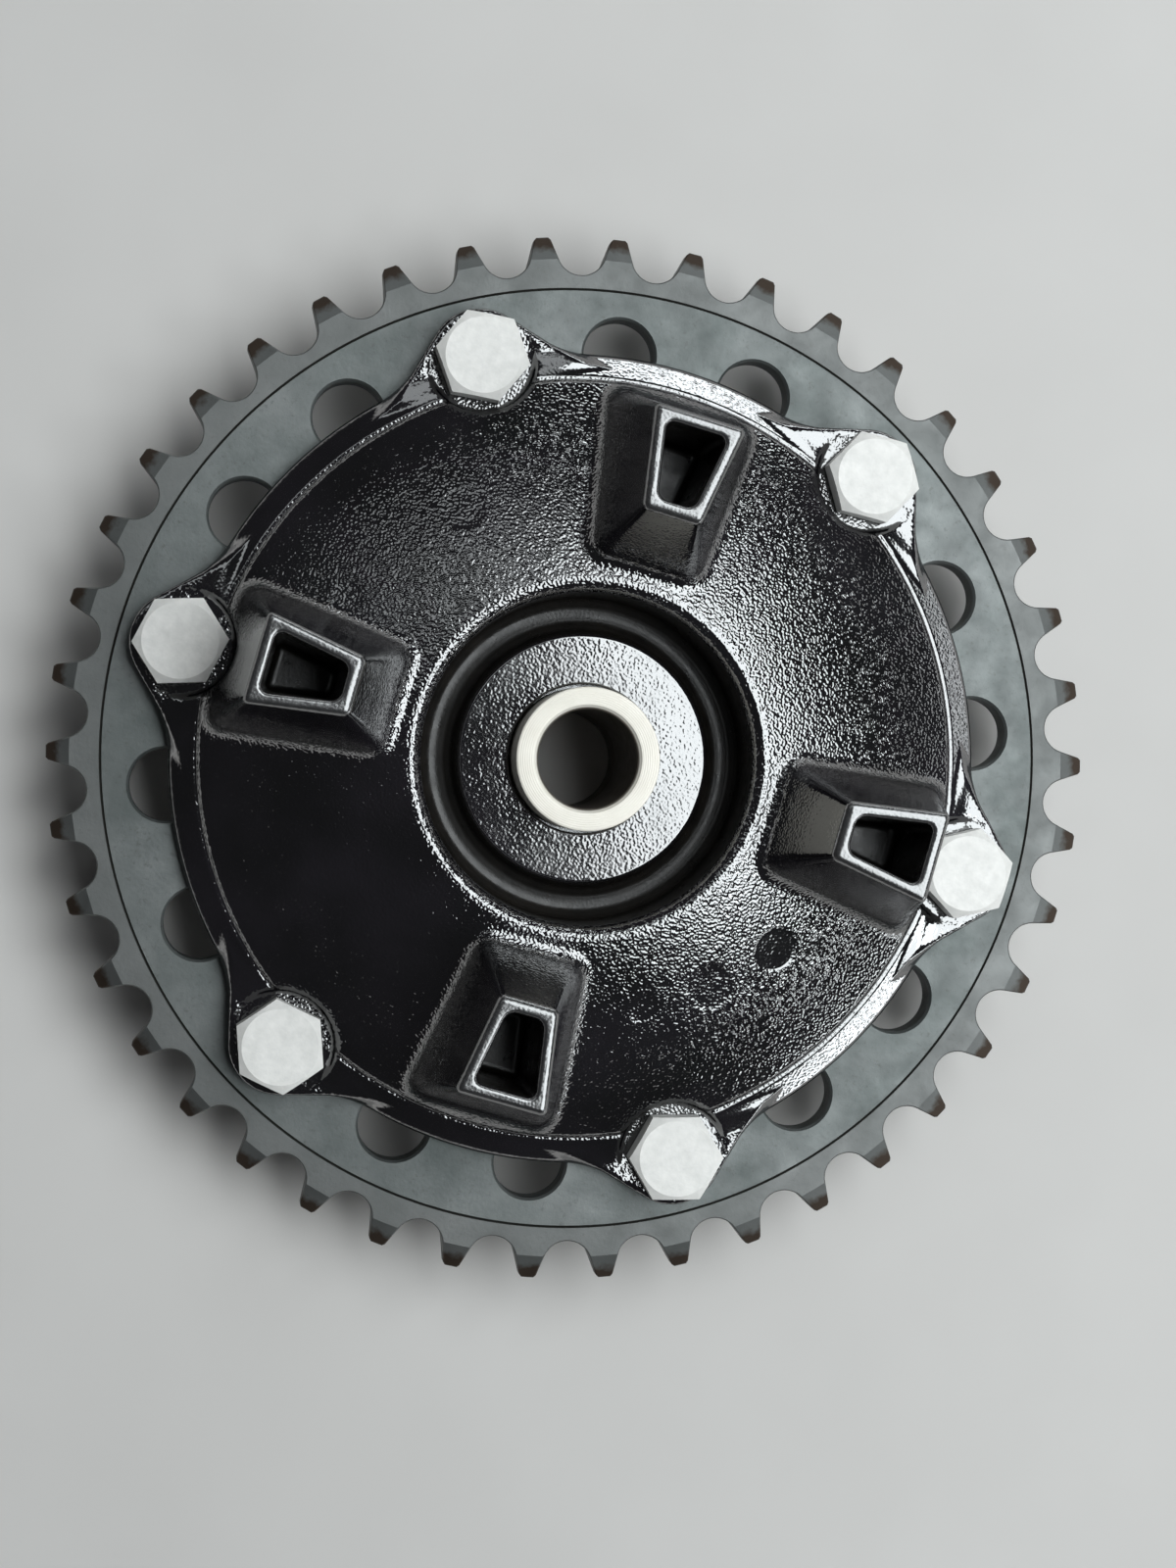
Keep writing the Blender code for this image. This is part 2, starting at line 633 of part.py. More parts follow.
def make_circlip(material, parent):
    """Sprung ring with an opening and two eyes for the pliers."""
    outer = SEAT_R + CIRCLIP_GROOVE - SEAT_GAP
    inner = outer - CIRCLIP_LAND
    low, high = CIRCLIP_BACK_Z, CIRCLIP_TOP_Z
    hoop = bmesh.new()
    sector(hoop, [(inner, high), (outer, high), (outer, low), (inner, low)],
           CIRCLIP_OPENING / 2, 2 * math.pi - CIRCLIP_OPENING, ROUND_FACETS)
    circlip = piece("circlip", hoop, material, parent)
    eyes = bmesh.new()
    holes = bmesh.new()
    eye_r = outer - CIRCLIP_EYE_R - CIRCLIP_GROOVE
    for side in (1, -1):
        centre = on_circle(eye_r, side * CIRCLIP_OPENING / 2)
        prism(eyes, disc_outline(centre, CIRCLIP_EYE_R, SMALL_FACETS), low, high)
        prism(holes, disc_outline(centre, CIRCLIP_EYE_HOLE_R, SMALL_FACETS), low - CIRCLIP_T,
              high + CIRCLIP_T)
    combine(circlip, cutter("circlip_eyes", eyes, parent), 'UNION')
    combine(circlip, cutter("circlip_eye_holes", holes, parent), 'DIFFERENCE')


def make_dust_seal(material, parent):
    """Pressed-in lip seal, its lip running just clear of the collar."""
    outer = SEAT_R - SEAT_GAP
    lip = COLLAR_D / 2 + SEAT_GAP
    low = HUB_REAR_Z + DUST_SEAL_INSET
    high = low + DUST_SEAL_W
    seal = bmesh.new()
    ring(seal, [(outer, high), (outer, low), (lip + DUST_SEAL_SKIN / 2, low),
                (lip, low + DUST_SEAL_SKIN / 2), (lip + DUST_SEAL_SKIN / 2, low + DUST_SEAL_SKIN),
                (outer - DUST_SEAL_SKIN, low + DUST_SEAL_SKIN), (outer - DUST_SEAL_SKIN, high)],
         ROUND_FACETS)
    piece("dust_seal", seal, material, parent)


def make_axle_core(material, parent):
    """Bush through the bearing, and the collar behind it."""
    bore = AXLE_BORE_D / 2
    bush_r = BUSH_D / 2
    spigot = BEARING_BORE / 2 - SEAT_GAP
    shoulder = BEARING_TOP_Z + SEAT_GAP
    bush = bmesh.new()
    ring(bush, [(bore + BUSH_CHAMFER, BUSH_TOP_Z), (bush_r - BUSH_CHAMFER / 2, BUSH_TOP_Z),
                (bush_r, BUSH_TOP_Z - BUSH_CHAMFER / 2), (bush_r, shoulder), (spigot, shoulder),
                (spigot, BEARING_BACK_Z), (bore, BEARING_BACK_Z), (bore, BUSH_TOP_Z - BUSH_CHAMFER)],
         ROUND_FACETS)
    piece("axle_bush", bush, material, parent)

    rim, neck = COLLAR_RIM_D / 2, COLLAR_D / 2
    top = BEARING_BACK_Z - SEAT_GAP
    collar = bmesh.new()
    step = top - COLLAR_NOSE_L
    ring(collar, [(bore, top), (INNER_LAND_R, top), (INNER_LAND_R, step), (neck, step),
                  (neck, COLLAR_RIM_T), (rim, COLLAR_RIM_T), (rim, 0), (bore, 0)], ROUND_FACETS)
    piece("outer_collar", collar, material, parent)


def main():
    clear_scene()
    black = paint("black_paint", (0.012, 0.012, 0.013), 0.22, 0.0)
    plate = paint("sprocket_steel", (0.30, 0.32, 0.31), 0.42, 1.0)
    zinc = paint("zinc_plate", (0.82, 0.83, 0.80), 0.35, 1.0)
    bush_steel = paint("bush_steel", (0.84, 0.80, 0.68), 0.30, 1.0)
    bearing_steel = paint("bearing_steel", (0.56, 0.57, 0.58), 0.18, 1.0)
    brass = paint("cage_brass", (0.62, 0.45, 0.18), 0.35, 1.0)
    rubber = paint("seal_rubber", (0.02, 0.02, 0.02), 0.7, 0.0)
    spring_steel = paint("spring_steel", (0.10, 0.10, 0.11), 0.4, 1.0)

    axle = pivot("axle_core")
    carrier = pivot("carrier_turn", axle)
    balls = pivot("ball_turn", axle)
    make_sprocket(plate, carrier)
    make_carrier(black, carrier)
    make_fasteners(zinc, carrier)
    make_bearing(bearing_steel, rubber, brass, axle, carrier, balls)
    make_circlip(spring_steel, carrier)
    make_dust_seal(rubber, carrier)
    make_axle_core(bush_steel, axle)


main()
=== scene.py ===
"""Looks of a chain sprocket on a lugged carrier: fine meshes, finishes, light and camera."""
import math

import bmesh
import bpy
import numpy as np
from mathutils import Matrix, Vector


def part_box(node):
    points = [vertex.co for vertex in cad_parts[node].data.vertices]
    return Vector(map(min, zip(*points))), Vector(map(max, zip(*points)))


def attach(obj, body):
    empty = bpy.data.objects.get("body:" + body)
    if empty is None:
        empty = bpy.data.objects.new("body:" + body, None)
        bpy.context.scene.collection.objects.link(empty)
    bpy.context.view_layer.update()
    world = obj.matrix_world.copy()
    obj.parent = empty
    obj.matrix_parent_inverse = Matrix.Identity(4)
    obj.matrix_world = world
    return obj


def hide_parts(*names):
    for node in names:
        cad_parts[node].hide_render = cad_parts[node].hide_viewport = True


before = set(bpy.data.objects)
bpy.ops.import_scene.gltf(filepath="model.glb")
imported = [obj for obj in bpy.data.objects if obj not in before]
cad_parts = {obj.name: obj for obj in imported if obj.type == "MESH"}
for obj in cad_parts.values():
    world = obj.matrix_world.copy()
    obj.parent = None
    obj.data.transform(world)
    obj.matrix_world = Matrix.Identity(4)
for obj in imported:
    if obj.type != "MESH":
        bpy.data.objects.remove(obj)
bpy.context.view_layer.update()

MM = 0.001


def top_of(name):
    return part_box(name)[1].z / MM


def foot_of(name):
    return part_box(name)[0].z / MM


def reach_of(name):
    """Radius of a turned piece about the axle."""
    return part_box(name)[1].x / MM


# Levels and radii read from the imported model, in millimetres like every size of the part
FACE_Z = top_of("sprocket")
BACK_Z = foot_of("sprocket")
LUG_TOP_Z = top_of("carrier")
HUB_REAR_Z = foot_of("carrier")
BUSH_TOP_Z = top_of("axle_bush")
BUSH_FOOT_Z = foot_of("axle_bush")
COLLAR_TOP_Z = top_of("outer_collar")
BEARING_TOP_Z = top_of("bearing_outer_ring")
CIRCLIP_TOP_Z = top_of("circlip")
CIRCLIP_BACK_Z = foot_of("circlip")
SEAL_TOP_Z = top_of("dust_seal")
SEAL_BACK_Z = foot_of("dust_seal")
WASHER_TOP_Z = top_of("washer_1")
WASHER_BACK_Z = foot_of("washer_1")
NUT_TOP_Z = top_of("nut_1")
NUT_BACK_Z = foot_of("nut_1")
HEAD_TOP_Z = top_of("bolt_1")
BOLT_TIP_Z = foot_of("bolt_1")
BUSH_R = reach_of("axle_bush")
COLLAR_RIM_R = reach_of("outer_collar")
SEAL_R = reach_of("dust_seal")
BEARING_R = reach_of("bearing_outer_ring")

# Clearances
SEAT_GAP = 0.3
RUN_GAP = 0.6

# Sprocket
TOOTH_COUNT = 42
CHAIN_PITCH = 15.875
ROLLER_SEAT_R = 5.13
ROLLER_SEAT_HALF = math.radians(69)
TOOTH_LEAD = math.radians(-1.6)
TIP_R = 109.2
TIP_BEVEL = 4.8
TIP_DROP = 1.55
TIP_CORNER = 0.5
# How far in from the tooth tip the painted dark reflection on the tooth bevels is centred
TIP_REFLECTION_REACH = 2.6
PLATE_RIM = 24.2
PLATE_LAND = 17.0
HOLE_COUNT = 18
HOLE_R = 7.5
EDGE_BREAK = 0.25
HOLE_BREAK = 0.5
LINE_R = 98.1
LINE_HALF = 0.26
LINE_DEPTH = 0.35
PITCH_R = CHAIN_PITCH / (2 * math.sin(math.pi / TOOTH_COUNT))
BEVEL_R = TIP_R - TIP_BEVEL
BOLT_CIRCLE_R = TIP_R - PLATE_RIM
BORE_R = BOLT_CIRCLE_R - PLATE_LAND

# Bolts and nuts
BOLT_COUNT = 6
BOLT_R = 5.0
BOLT_HOLE_R = BOLT_R + SEAT_GAP
BOLT_HEAD_H = 6.4
HEX_SIDES = 6
HEX_HALF = 8.5
HEX_FACE_SHARE = 0.92
HEX_CONE = math.tan(math.radians(30))
HEX_BREAK = 0.25
THREAD_PITCH = 1.5
THREAD_DEPTH = 0.75
THREAD_TURNS = 3
THREAD_TIP_START = 0.35
THREAD_TIP_POWER = 0.3
WASHER_R = 10.0
BOLT_TURNS = [math.radians(a) for a in (29, 2, 6, 18, -10, 16)]

# Carrier: rim, ears, cone, groove and hub
FLANGE_INSET = 0.8
FLANGE_EDGE_H = 3.4
RIM_BAND = 5.0
RIM_ROUND = 1.8
CREASE_H = 6.6
CREASE_ROUND = 0.4
CREASE_DIP = 0.1
CREASE_DIP_W = 0.7
EAR_MARGIN = 0.7
EAR_EDGE_ANGLE = math.radians(45)
EAR_T = 5.0
EAR_ROUND = 1.1
EAR_FILLET = 2.8
SPOTFACE_MARGIN = 0.8
SPOTFACE_ROUND = 0.9
LIP_R = 36.2
LIP_H = 24.8
LIP_ROUND = 2.4
SPIGOT_DEPTH = 4.0
GROOVE_W = 10.8
GROOVE_FLOOR_H = 6.8
GROOVE_DRAFT = 1.4
GROOVE_ROUND = 3.3
GROOVE_WALL = 4.4
HUB_FACE_H = 14.4
HUB_EDGE_ROUND = 0.7
HUB_WALL = 6.0
SHOULDER_RECESS = 3 * RUN_GAP
CONE_WALL = 6.2
CONE_CROWN = 1.7
CONE_STEPS = 28
RIB_COUNT = 8
RIB_ANGLE = math.radians(7)
POCKET_ROUND = 3.0
CLIP_GROOVE = 1.4
EDGE_ROUND = 0.4
FLANGE_R = BOLT_CIRCLE_R - FLANGE_INSET
CREASE_R = FLANGE_R - RIM_BAND
FLANGE_Z = FACE_Z + SEAT_GAP
EAR_TOP_Z = FLANGE_Z + EAR_T
CREASE_Z = FLANGE_Z + CREASE_H
LIP_Z = FACE_Z + LIP_H
HUB_FACE_Z = FACE_Z + HUB_FACE_H
GROOVE_FLOOR_Z = FACE_Z + GROOVE_FLOOR_H
HUB_FACE_R = LIP_R - GROOVE_W
GROOVE_OUT_R = LIP_R - LIP_ROUND
SPIGOT_R = BORE_R - SEAT_GAP
SPIGOT_Z = FLANGE_Z - SPIGOT_DEPTH
SEAT_R = BEARING_R + SEAT_GAP
HUB_R = SEAT_R + HUB_WALL
EAR_R = HEX_HALF / math.cos(math.pi / HEX_SIDES) + EAR_MARGIN
CONE_FALL = (LIP_Z - CREASE_Z) / (CREASE_R - LIP_R)

# Carrier: drive lugs
LUG_COUNT = 4
LUG_LIP_LAND = 2.8
LUG_CREASE_LAND = 3.2
LUG_LEAN_IN = 10.4
LUG_LEAN_OUT = 6.4
LUG_FOOT_HALF_IN = 11.6
LUG_FOOT_HALF_OUT = 16.0
LUG_FOOT_CORNER = 4.5
LUG_TOP_HALF_IN = 5.8
LUG_TOP_HALF_OUT = 9.2
LUG_TOP_CORNER = 1.2
LUG_TOP_ROUND = 1.1
LUG_FILLET = 2.4
LUG_RIM = 2.5
LUG_POCKET_DEPTH = 27.0
LUG_POCKET_DRAFT = 0.9
LUG_POCKET_CORNER = 1.8
LUG_POCKET_FLOOR = 1.6
LUG_MOUTH_ROUND = 0.9
LUG_EMBED = 2.0
LUG_FOOT_IN = LIP_R + LUG_LIP_LAND
LUG_FOOT_OUT = CREASE_R - LUG_CREASE_LAND
LUG_TOP_IN = LUG_FOOT_IN + LUG_LEAN_IN
LUG_TOP_OUT = LUG_FOOT_OUT - LUG_LEAN_OUT

# Round mould marks on the cone: radius and angle of the place, size, and share of the paint's grain
MOULD_MARKS = (
    (55.4, math.radians(-28.5), 4.8, 0.25),
    (53.3, math.radians(-44.9), 5.0, 0.75),
    (52.1, math.radians(-60.6), 3.2, 0.8),
    (58.1, math.radians(162.4), 3.4, 0.7),
    (56.5, math.radians(132.3), 4.6, 0.8),
)
MOULD_MARK_DEPTH = 0.14
MOULD_MARK_EDGE = 0.5
MOULD_MARK_POWER = 8

# Axle core
AXLE_BORE_R = 10.1
BUSH_CHAMFER = 0.9
BUSH_ROUND = 0.4
BEARING_BORE_R = 12.5
COLLAR_NECK_R = 17.0
COLLAR_RIM_T = 1.4
COLLAR_NOSE_L = 2.0
SEAL_SKIN = 2.2
RACE_LAND_HALF = 2.8
RACE_MID_R = (BEARING_BORE_R + BEARING_R) / 2
INNER_LAND_R = RACE_MID_R - RACE_LAND_HALF
OUTER_LAND_R = RACE_MID_R + RACE_LAND_HALF

# Fineness of the meshes
GRID_TURN = 480
GRID_STEP = 0.75
FINE_STEP = 0.3
FINE_REACH = 1.5
GRID_MARGIN = 1.5
SETTLE_ROUNDS = 2
SLOPE_REACH = 0.02
TURNED_STEPS = 144
CORNER_STEPS = 5
SEAT_STEPS = 8
TIP_STEPS = 3
PATCH_STEPS = 12
HEX_STEPS = 8
HEX_POINTS = HEX_SIDES * HEX_STEPS
THREAD_STEPS = 8
THREAD_POINTS = 4 * THREAD_STEPS
FLOOR_SEGMENTS = 24
WELD = 1e-4
SHARP_ANGLE = math.radians(28)
PLATE_SHARP_ANGLE = math.radians(12)

# Middle of a noise, which the finishes spread between two colours or two degrees of roughness
NOISE_LOW = 0.3
NOISE_HIGH = 0.7

# Black paint, its scuffs on the tops of the lugs, and how much of its grain shows from place to place
PAINT_IOR = 1.9
PAINT_DARK = (0.004, 0.004, 0.0045)
PAINT_HAZE = (0.012, 0.0105, 0.0135)
PAINT_HAZE_LOW = 0.35
SCUFF_DARK = (0.012, 0.012, 0.013)
SCUFF_LIGHT = (0.032, 0.032, 0.032)
SCUFF_START = 0.9
SCUFF_END = 0.4
SCUFF_ROUGH = 0.16
PEEL_DEPTH = 0.165
PEEL_WAVE_SHARE = 0.3
PEEL_STEP = 1.0
PEEL_ON_HUB = 0.15
PEEL_ON_EDGE = 0.55
PEEL_EDGE_START = 14.0
PEEL_EDGE_END = 3.0
PEEL_ON_RIM = 0.13
PEEL_ON_LUG = 0.2
PEEL_LUG_FADE = 13.0
PEEL_ON_EAR = 0.55

# Sprocket plate: clouds, specks, tooth ring, a painted dark reflection on the tooth tips, and painted
# shade in the scribed line
STEEL_DARK = (0.10, 0.113, 0.110)
STEEL_LIGHT = (0.177, 0.188, 0.185)
SPECK_SHADE = (0.08, 0.08, 0.075)
SPECK_LOW = 0.58
SPECK_HIGH = 0.72
SPECK_SHARE = 0.45
TOOTH_RING_SHADE = (0.14, 0.14, 0.137)
TOOTH_RING_STEP = 0.1
TOOTH_RING_SHARE = 0.5
# Dark reddish brown painted onto the tooth tips as a painted reflection, made ragged by noise
TIP_REFLECTION_SHADE = (0.05, 0.036, 0.027)
TIP_REFLECTION_WANDER = 0.8
TIP_REFLECTION_START = 0.6
TIP_REFLECTION_END = 0.9
# Dark colour painted along the scribed groove as painted shade
GROOVE_PAINTED_SHADE = (0.05, 0.05, 0.045)
LINE_SOLID = 0.7
LINE_FADE = 1.2

# Axle bush and collar: ivory plating with fine turning rings, and painted shade that darkens the bore
IVORY_DARK = (0.84, 0.80, 0.71)
IVORY_LIGHT = (0.91, 0.87, 0.785)
BORE_PAINTED_SHADE = (0.10, 0.085, 0.07)
BORE_FADE_START = 0.2
BORE_FADE_END = 0.5
TURNING_PITCH = 0.45
TURNING_DEPTH = 0.012

# Finishes that vary by noise alone: grains are those of colour, roughness and relief
PLAIN_FINISHES = {
    "dusty_black": dict(metallic=0.0, dark=(0.005, 0.0045, 0.004), light=(0.013, 0.011, 0.009),
                        rough=(0.26, 0.40), grains=(5, 3, 0.6), relief=0.03, relief_detail=1),
    "pale_zinc": dict(metallic=0.08, specular=0.3, dark=(0.74, 0.733, 0.705), light=(0.865, 0.853, 0.822),
                      rough=(0.42, 0.56), grains=(2.6, 1.4, 0.8), relief=0.03),
    "moulded_rubber": dict(metallic=0.0, dark=(0.012, 0.012, 0.012), light=(0.03, 0.03, 0.03),
                           rough=(0.55, 0.75), grains=(3, 1, 0.5), relief=0.03),
    "bearing_steel": dict(metallic=1.0, dark=(0.46, 0.47, 0.48), light=(0.60, 0.61, 0.62),
                          rough=(0.16, 0.30), grains=(3, 1.5, 0.75), relief=0.01),
    "cage_brass": dict(metallic=1.0, dark=(0.52, 0.36, 0.13), light=(0.66, 0.48, 0.20),
                       rough=(0.30, 0.44), grains=(2, 1, 0.5), relief=0.01),
    "spring_steel": dict(metallic=1.0, dark=(0.07, 0.07, 0.075), light=(0.13, 0.13, 0.135),
                         rough=(0.35, 0.49), grains=(2, 1, 0.5), relief=0.01),
}

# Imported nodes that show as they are, and their finishes
NODE_LOOKS = {
    "bearing_outer_ring": "bearing_steel",
    "bearing_inner_ring": "bearing_steel",
    "bearing_ball": "bearing_steel",
    "bearing_cage": "cage_brass",
    "bearing_seal_front": "moulded_rubber",
    "bearing_seal_rear": "moulded_rubber",
    "circlip": "spring_steel",
}

# Stage and camera, in metres
PICTURE_TURN = math.radians(16.39)
CAMERA_TILT_X = math.radians(0.58)
CAMERA_TILT_Y = math.radians(6.84)
CAMERA_PLACE = Vector((2.86, -5.29, 638.0)) * MM
CAMERA_LENS = 70.0
FLOOR_DARK = (0.645, 0.627, 0.607)
FLOOR_LIGHT = (0.675, 0.657, 0.637)
FLOOR_HALF = 2.5
FLOOR_FADE_START = 0.35
FLOOR_FADE_END = 1.0
BACKDROP = (0.82, 0.82, 0.81)
BACKDROP_LOW = 0.06
BACKDROP_HIGH = 0.2
ROOM_SHADE = (0.025, 0.025, 0.027)

# Lamps: picture direction and angle from straight up (degrees), width and length (metres), radiance
LAMP_DISTANCE = 1.2
LAMP_TINT = (0.93, 0.98, 1.0)
LAMPS = {
    "key": (12, 24, 0.74, 1.30, 4.9),
    "side": (-30, 43, 0.16, 0.50, 3.7),
    "fill": (112, 36, 0.24, 0.90, 1.1),
    "upper_right": (71, 74.5, 0.08, 0.85, 6.5),
    "right": (8, 79, 0.05, 0.80, 2.5),
    "lower_right": (-38, 77.5, 0.08, 0.70, 7.0),
}


# Meshes from points and faces

class Skin:
    """Points and faces gathered for one mesh."""

    def __init__(self):
        self.points = []
        self.faces = []

    def loop(self, points):
        first = len(self.points)
        self.points.extend(points)
        return list(range(first, len(self.points)))

    def bridge(self, one, two, closed=True):
        """Faces between two loops of the same count."""
        for k in range(0 if closed else 1, len(one)):
            corners = list(dict.fromkeys((one[k - 1], one[k], two[k], two[k - 1])))
            if len(corners) > 2:
                self.faces.append(corners)

    def chain(self, loops):
        for one, two in zip(loops, loops[1:]):
            self.bridge(one, two)

    def fill(self, loop):
        self.faces.append(list(loop))

    def stitch(self, one, two, centre=(0.0, 0.0)):
        """Triangles between two loops of unlike counts that both run once round a centre."""
        one, one_turns = self.by_turn(one, centre)
        two, two_turns = self.by_turn(two, centre)
        i = j = 0
        while i < len(one) - 1 or j < len(two) - 1:
            if j == len(two) - 1 or (i < len(one) - 1 and one_turns[i + 1] <= two_turns[j + 1]):
                self.faces.append([one[i], one[i + 1], two[j]])
                i += 1
            else:
                self.faces.append([one[i], two[j + 1], two[j]])
                j += 1

    def by_turn(self, loop, centre):
        """The loop in order of its turn about a centre, closed by its first point, and those turns."""
        places = [self.points[k] for k in loop]
        turns = [math.atan2(y - centre[1], x - centre[0]) % (2 * math.pi) for x, y, _ in places]
        order = sorted(range(len(loop)), key=turns.__getitem__)
        picked = [loop[k] for k in order] + [loop[order[0]]]
        return picked, [turns[k] for k in order] + [turns[order[0]] + 2 * math.pi]

    def piece(self, name, material, sharp=SHARP_ANGLE):
        """The finished object, in metres, shaded smooth between its sharp edges."""
        shape = bmesh.new()
        verts = [shape.verts.new((x * MM, y * MM, z * MM)) for x, y, z in self.points]
        for face in self.faces:
            shape.faces.new([verts[k] for k in face])
        bmesh.ops.remove_doubles(shape, verts=shape.verts, dist=WELD * MM)
        bmesh.ops.recalc_face_normals(shape, faces=shape.faces)
        mesh = bpy.data.meshes.new(name)
        shape.to_mesh(mesh)
        shape.free()
        mesh.shade_smooth()
        mesh.set_sharp_from_angle(angle=sharp)
        return new_object(name, mesh, material)


def new_object(name, mesh, material):
    mesh.materials.append(material)
    made = bpy.data.objects.new(name, mesh)
    bpy.context.scene.collection.objects.link(made)
    return made


def mount(piece, body, slot, *nodes):
    """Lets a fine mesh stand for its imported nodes."""
    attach(piece, body)
    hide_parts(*nodes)


def polar(radius, turn, z, centre=(0.0, 0.0)):
    return centre[0] + radius * math.cos(turn), centre[1] + radius * math.sin(turn), z


def circle(radius, z, count, centre=(0.0, 0.0), lead=0.0):
    return [polar(radius, lead + 2 * math.pi * k / count, z, centre) for k in range(count)]


def rounded(corners):
    """Closed outline through (x, y, rounding) corners."""
    outline = []
    for k, (x, y, radius) in enumerate(corners):
        corner = Vector((x, y))
        if radius == 0:
            outline.append(corner)
            continue
        before = (Vector(corners[k - 1][:2]) - corner).normalized()
        after = (Vector(corners[(k + 1) % len(corners)][:2]) - corner).normalized()
        half = before.angle(after) / 2
        centre = corner + (before + after).normalized() * radius / math.sin(half)
        start = corner + before * radius / math.tan(half) - centre
        end = corner + after * radius / math.tan(half) - centre
        for step in range(CORNER_STEPS + 1):
            outline.append(centre + start.slerp(end, step / CORNER_STEPS).normalized() * radius)
    return outline


def turned(name, corners, material, centre=(0.0, 0.0), steps=TURNED_STEPS):
    """Full turn of a closed (radius, height, rounding) section."""
    skin = Skin()
    loops = [skin.loop(circle(r, z, steps, centre)) for r, z in rounded(corners)]
    skin.chain(loops + loops[:1])
    return skin.piece(name, material)


# The casting's skin as a signed distance, negative inside the metal

def round_join(a, b, radius):
    """Union of two fields with a fillet between them."""
    gap = np.hypot(np.maximum(radius - a, 0), np.maximum(radius - b, 0))
    return np.maximum(np.minimum(a, b), radius) - gap


def round_meet(a, b, radius):
    """Common part of two fields with a rounded edge."""
    gap = np.hypot(np.maximum(radius + a, 0), np.maximum(radius + b, 0))
    return np.minimum(np.maximum(a, b), -radius) + gap


def cut(a, tool, radius):
    return round_meet(a, -tool, radius)


def fold(angle, count, lead=0.0):
    """Angle from the nearest of a count of even directions."""
    pitch = 2 * math.pi / count
    return (angle - lead + pitch / 2) % pitch - pitch / 2


def blend(low, high, share):
    return low + (high - low) * share


def outline_distance(x, y, outline):
    """Signed distance to a closed outline."""
    shape = np.broadcast_shapes(x.shape, y.shape)
    nearest = np.full(shape, np.inf)
    inside = np.zeros(shape, bool)
    for k, end in enumerate(outline):
        start = outline[k - 1]
        along = end - start
        from_x, from_y = x - start.x, y - start.y
        share = np.clip((from_x * along.x + from_y * along.y) / along.length_squared, 0, 1)
        nearest = np.minimum(nearest, (from_x - along.x * share) ** 2 + (from_y - along.y * share) ** 2)
        if along.y != 0:
            spans = (start.y > y) != (end.y > y)
            inside = inside ^ (spans & (from_x < along.x / along.y * from_y))
    return np.where(inside, -1, 1) * np.sqrt(nearest)


def cone_z(radius):
    """Height of the cone from its crease to its lip, raised by its crown halfway between them."""
    share = (CREASE_R - radius) / (CREASE_R - LIP_R)
    return CREASE_Z + share * (LIP_Z - CREASE_Z) + 4 * CONE_CROWN * share * (1 - share)


def casting_section():
    """Half section of the casting before the lugs, ears and pockets."""
    hole_r = BUSH_R + RUN_GAP
    shoulder_z = BEARING_TOP_Z + SEAT_GAP
    recess_z = shoulder_z + SHOULDER_RECESS
    clip_r = SEAT_R + CLIP_GROOVE
    clip_low, clip_high = CIRCLIP_BACK_Z - SEAT_GAP, CIRCLIP_TOP_Z + SEAT_GAP
    dome_end = CREASE_R - 2 * CREASE_DIP_W
    dome = [LIP_R + (dome_end - LIP_R) * k / CONE_STEPS for k in range(1, CONE_STEPS)]
    return rounded([
        (hole_r, HUB_FACE_Z, EDGE_ROUND),
        (HUB_FACE_R, HUB_FACE_Z, HUB_EDGE_ROUND),
        (HUB_FACE_R + GROOVE_DRAFT, GROOVE_FLOOR_Z, GROOVE_ROUND),
        (GROOVE_OUT_R - GROOVE_DRAFT / 2, GROOVE_FLOOR_Z, GROOVE_ROUND),
        (GROOVE_OUT_R, cone_z(GROOVE_OUT_R), LIP_ROUND),
        *((radius, cone_z(radius), 0) for radius in dome),
        (dome_end, cone_z(dome_end), CREASE_ROUND),
        (CREASE_R - CREASE_DIP_W, CREASE_Z - CREASE_DIP, CREASE_ROUND),
        (CREASE_R, CREASE_Z, CREASE_ROUND),
        (FLANGE_R, FLANGE_Z + FLANGE_EDGE_H, RIM_ROUND),
        (FLANGE_R, FLANGE_Z, EDGE_ROUND),
        (SPIGOT_R, FLANGE_Z, EDGE_ROUND),
        (SPIGOT_R, SPIGOT_Z, EDGE_ROUND),
        (HUB_R, SPIGOT_Z, POCKET_ROUND),
        (HUB_R, HUB_REAR_Z, HUB_EDGE_ROUND),
        (SEAT_R, HUB_REAR_Z, EDGE_ROUND),
        (SEAT_R, clip_low, 0),
        (clip_r, clip_low, 0),
        (clip_r, clip_high, 0),
        (SEAT_R, clip_high, 0),
        (SEAT_R, shoulder_z, 0),
        (OUTER_LAND_R, shoulder_z, 0),
        (OUTER_LAND_R, recess_z, 0),
        (hole_r, recess_z, 0),
    ])


SECTION = casting_section()


def lug_field(x, y, z):
    """One lug on the x axis with walls that lean in towards its top."""
    depth = LUG_TOP_Z - z
    foot_in = LUG_TOP_Z - cone_z(LUG_FOOT_IN) + LUG_EMBED
    foot_out = LUG_TOP_Z - cone_z(LUG_FOOT_OUT) + LUG_EMBED
    lean_in, lean_out = LUG_LEAN_IN / foot_in, LUG_LEAN_OUT / foot_out
    spread_in = (LUG_FOOT_HALF_IN - LUG_TOP_HALF_IN) / foot_in
    spread_out = (LUG_FOOT_HALF_OUT - LUG_TOP_HALF_OUT) / foot_out
    inner = LUG_TOP_IN - lean_in * depth
    outer = LUG_TOP_OUT + lean_out * depth
    share = np.clip((x - inner) / (outer - inner), 0, 1)
    half = (blend(LUG_TOP_HALF_IN, LUG_TOP_HALF_OUT, share)
            + blend(spread_in, spread_out, share) * depth)
    ends = np.maximum((inner - x) / math.hypot(1, lean_in), (x - outer) / math.hypot(1, lean_out))
    sides = (np.abs(y) - half) / math.hypot(1, spread_in)
    corner = blend(LUG_TOP_CORNER, LUG_FOOT_CORNER, np.clip(depth / foot_out, 0, 1))
    foot = cone_z(np.hypot(x, y)) - LUG_EMBED - z
    return np.maximum(round_meet(round_meet(ends, sides, corner), -depth, LUG_TOP_ROUND), foot)


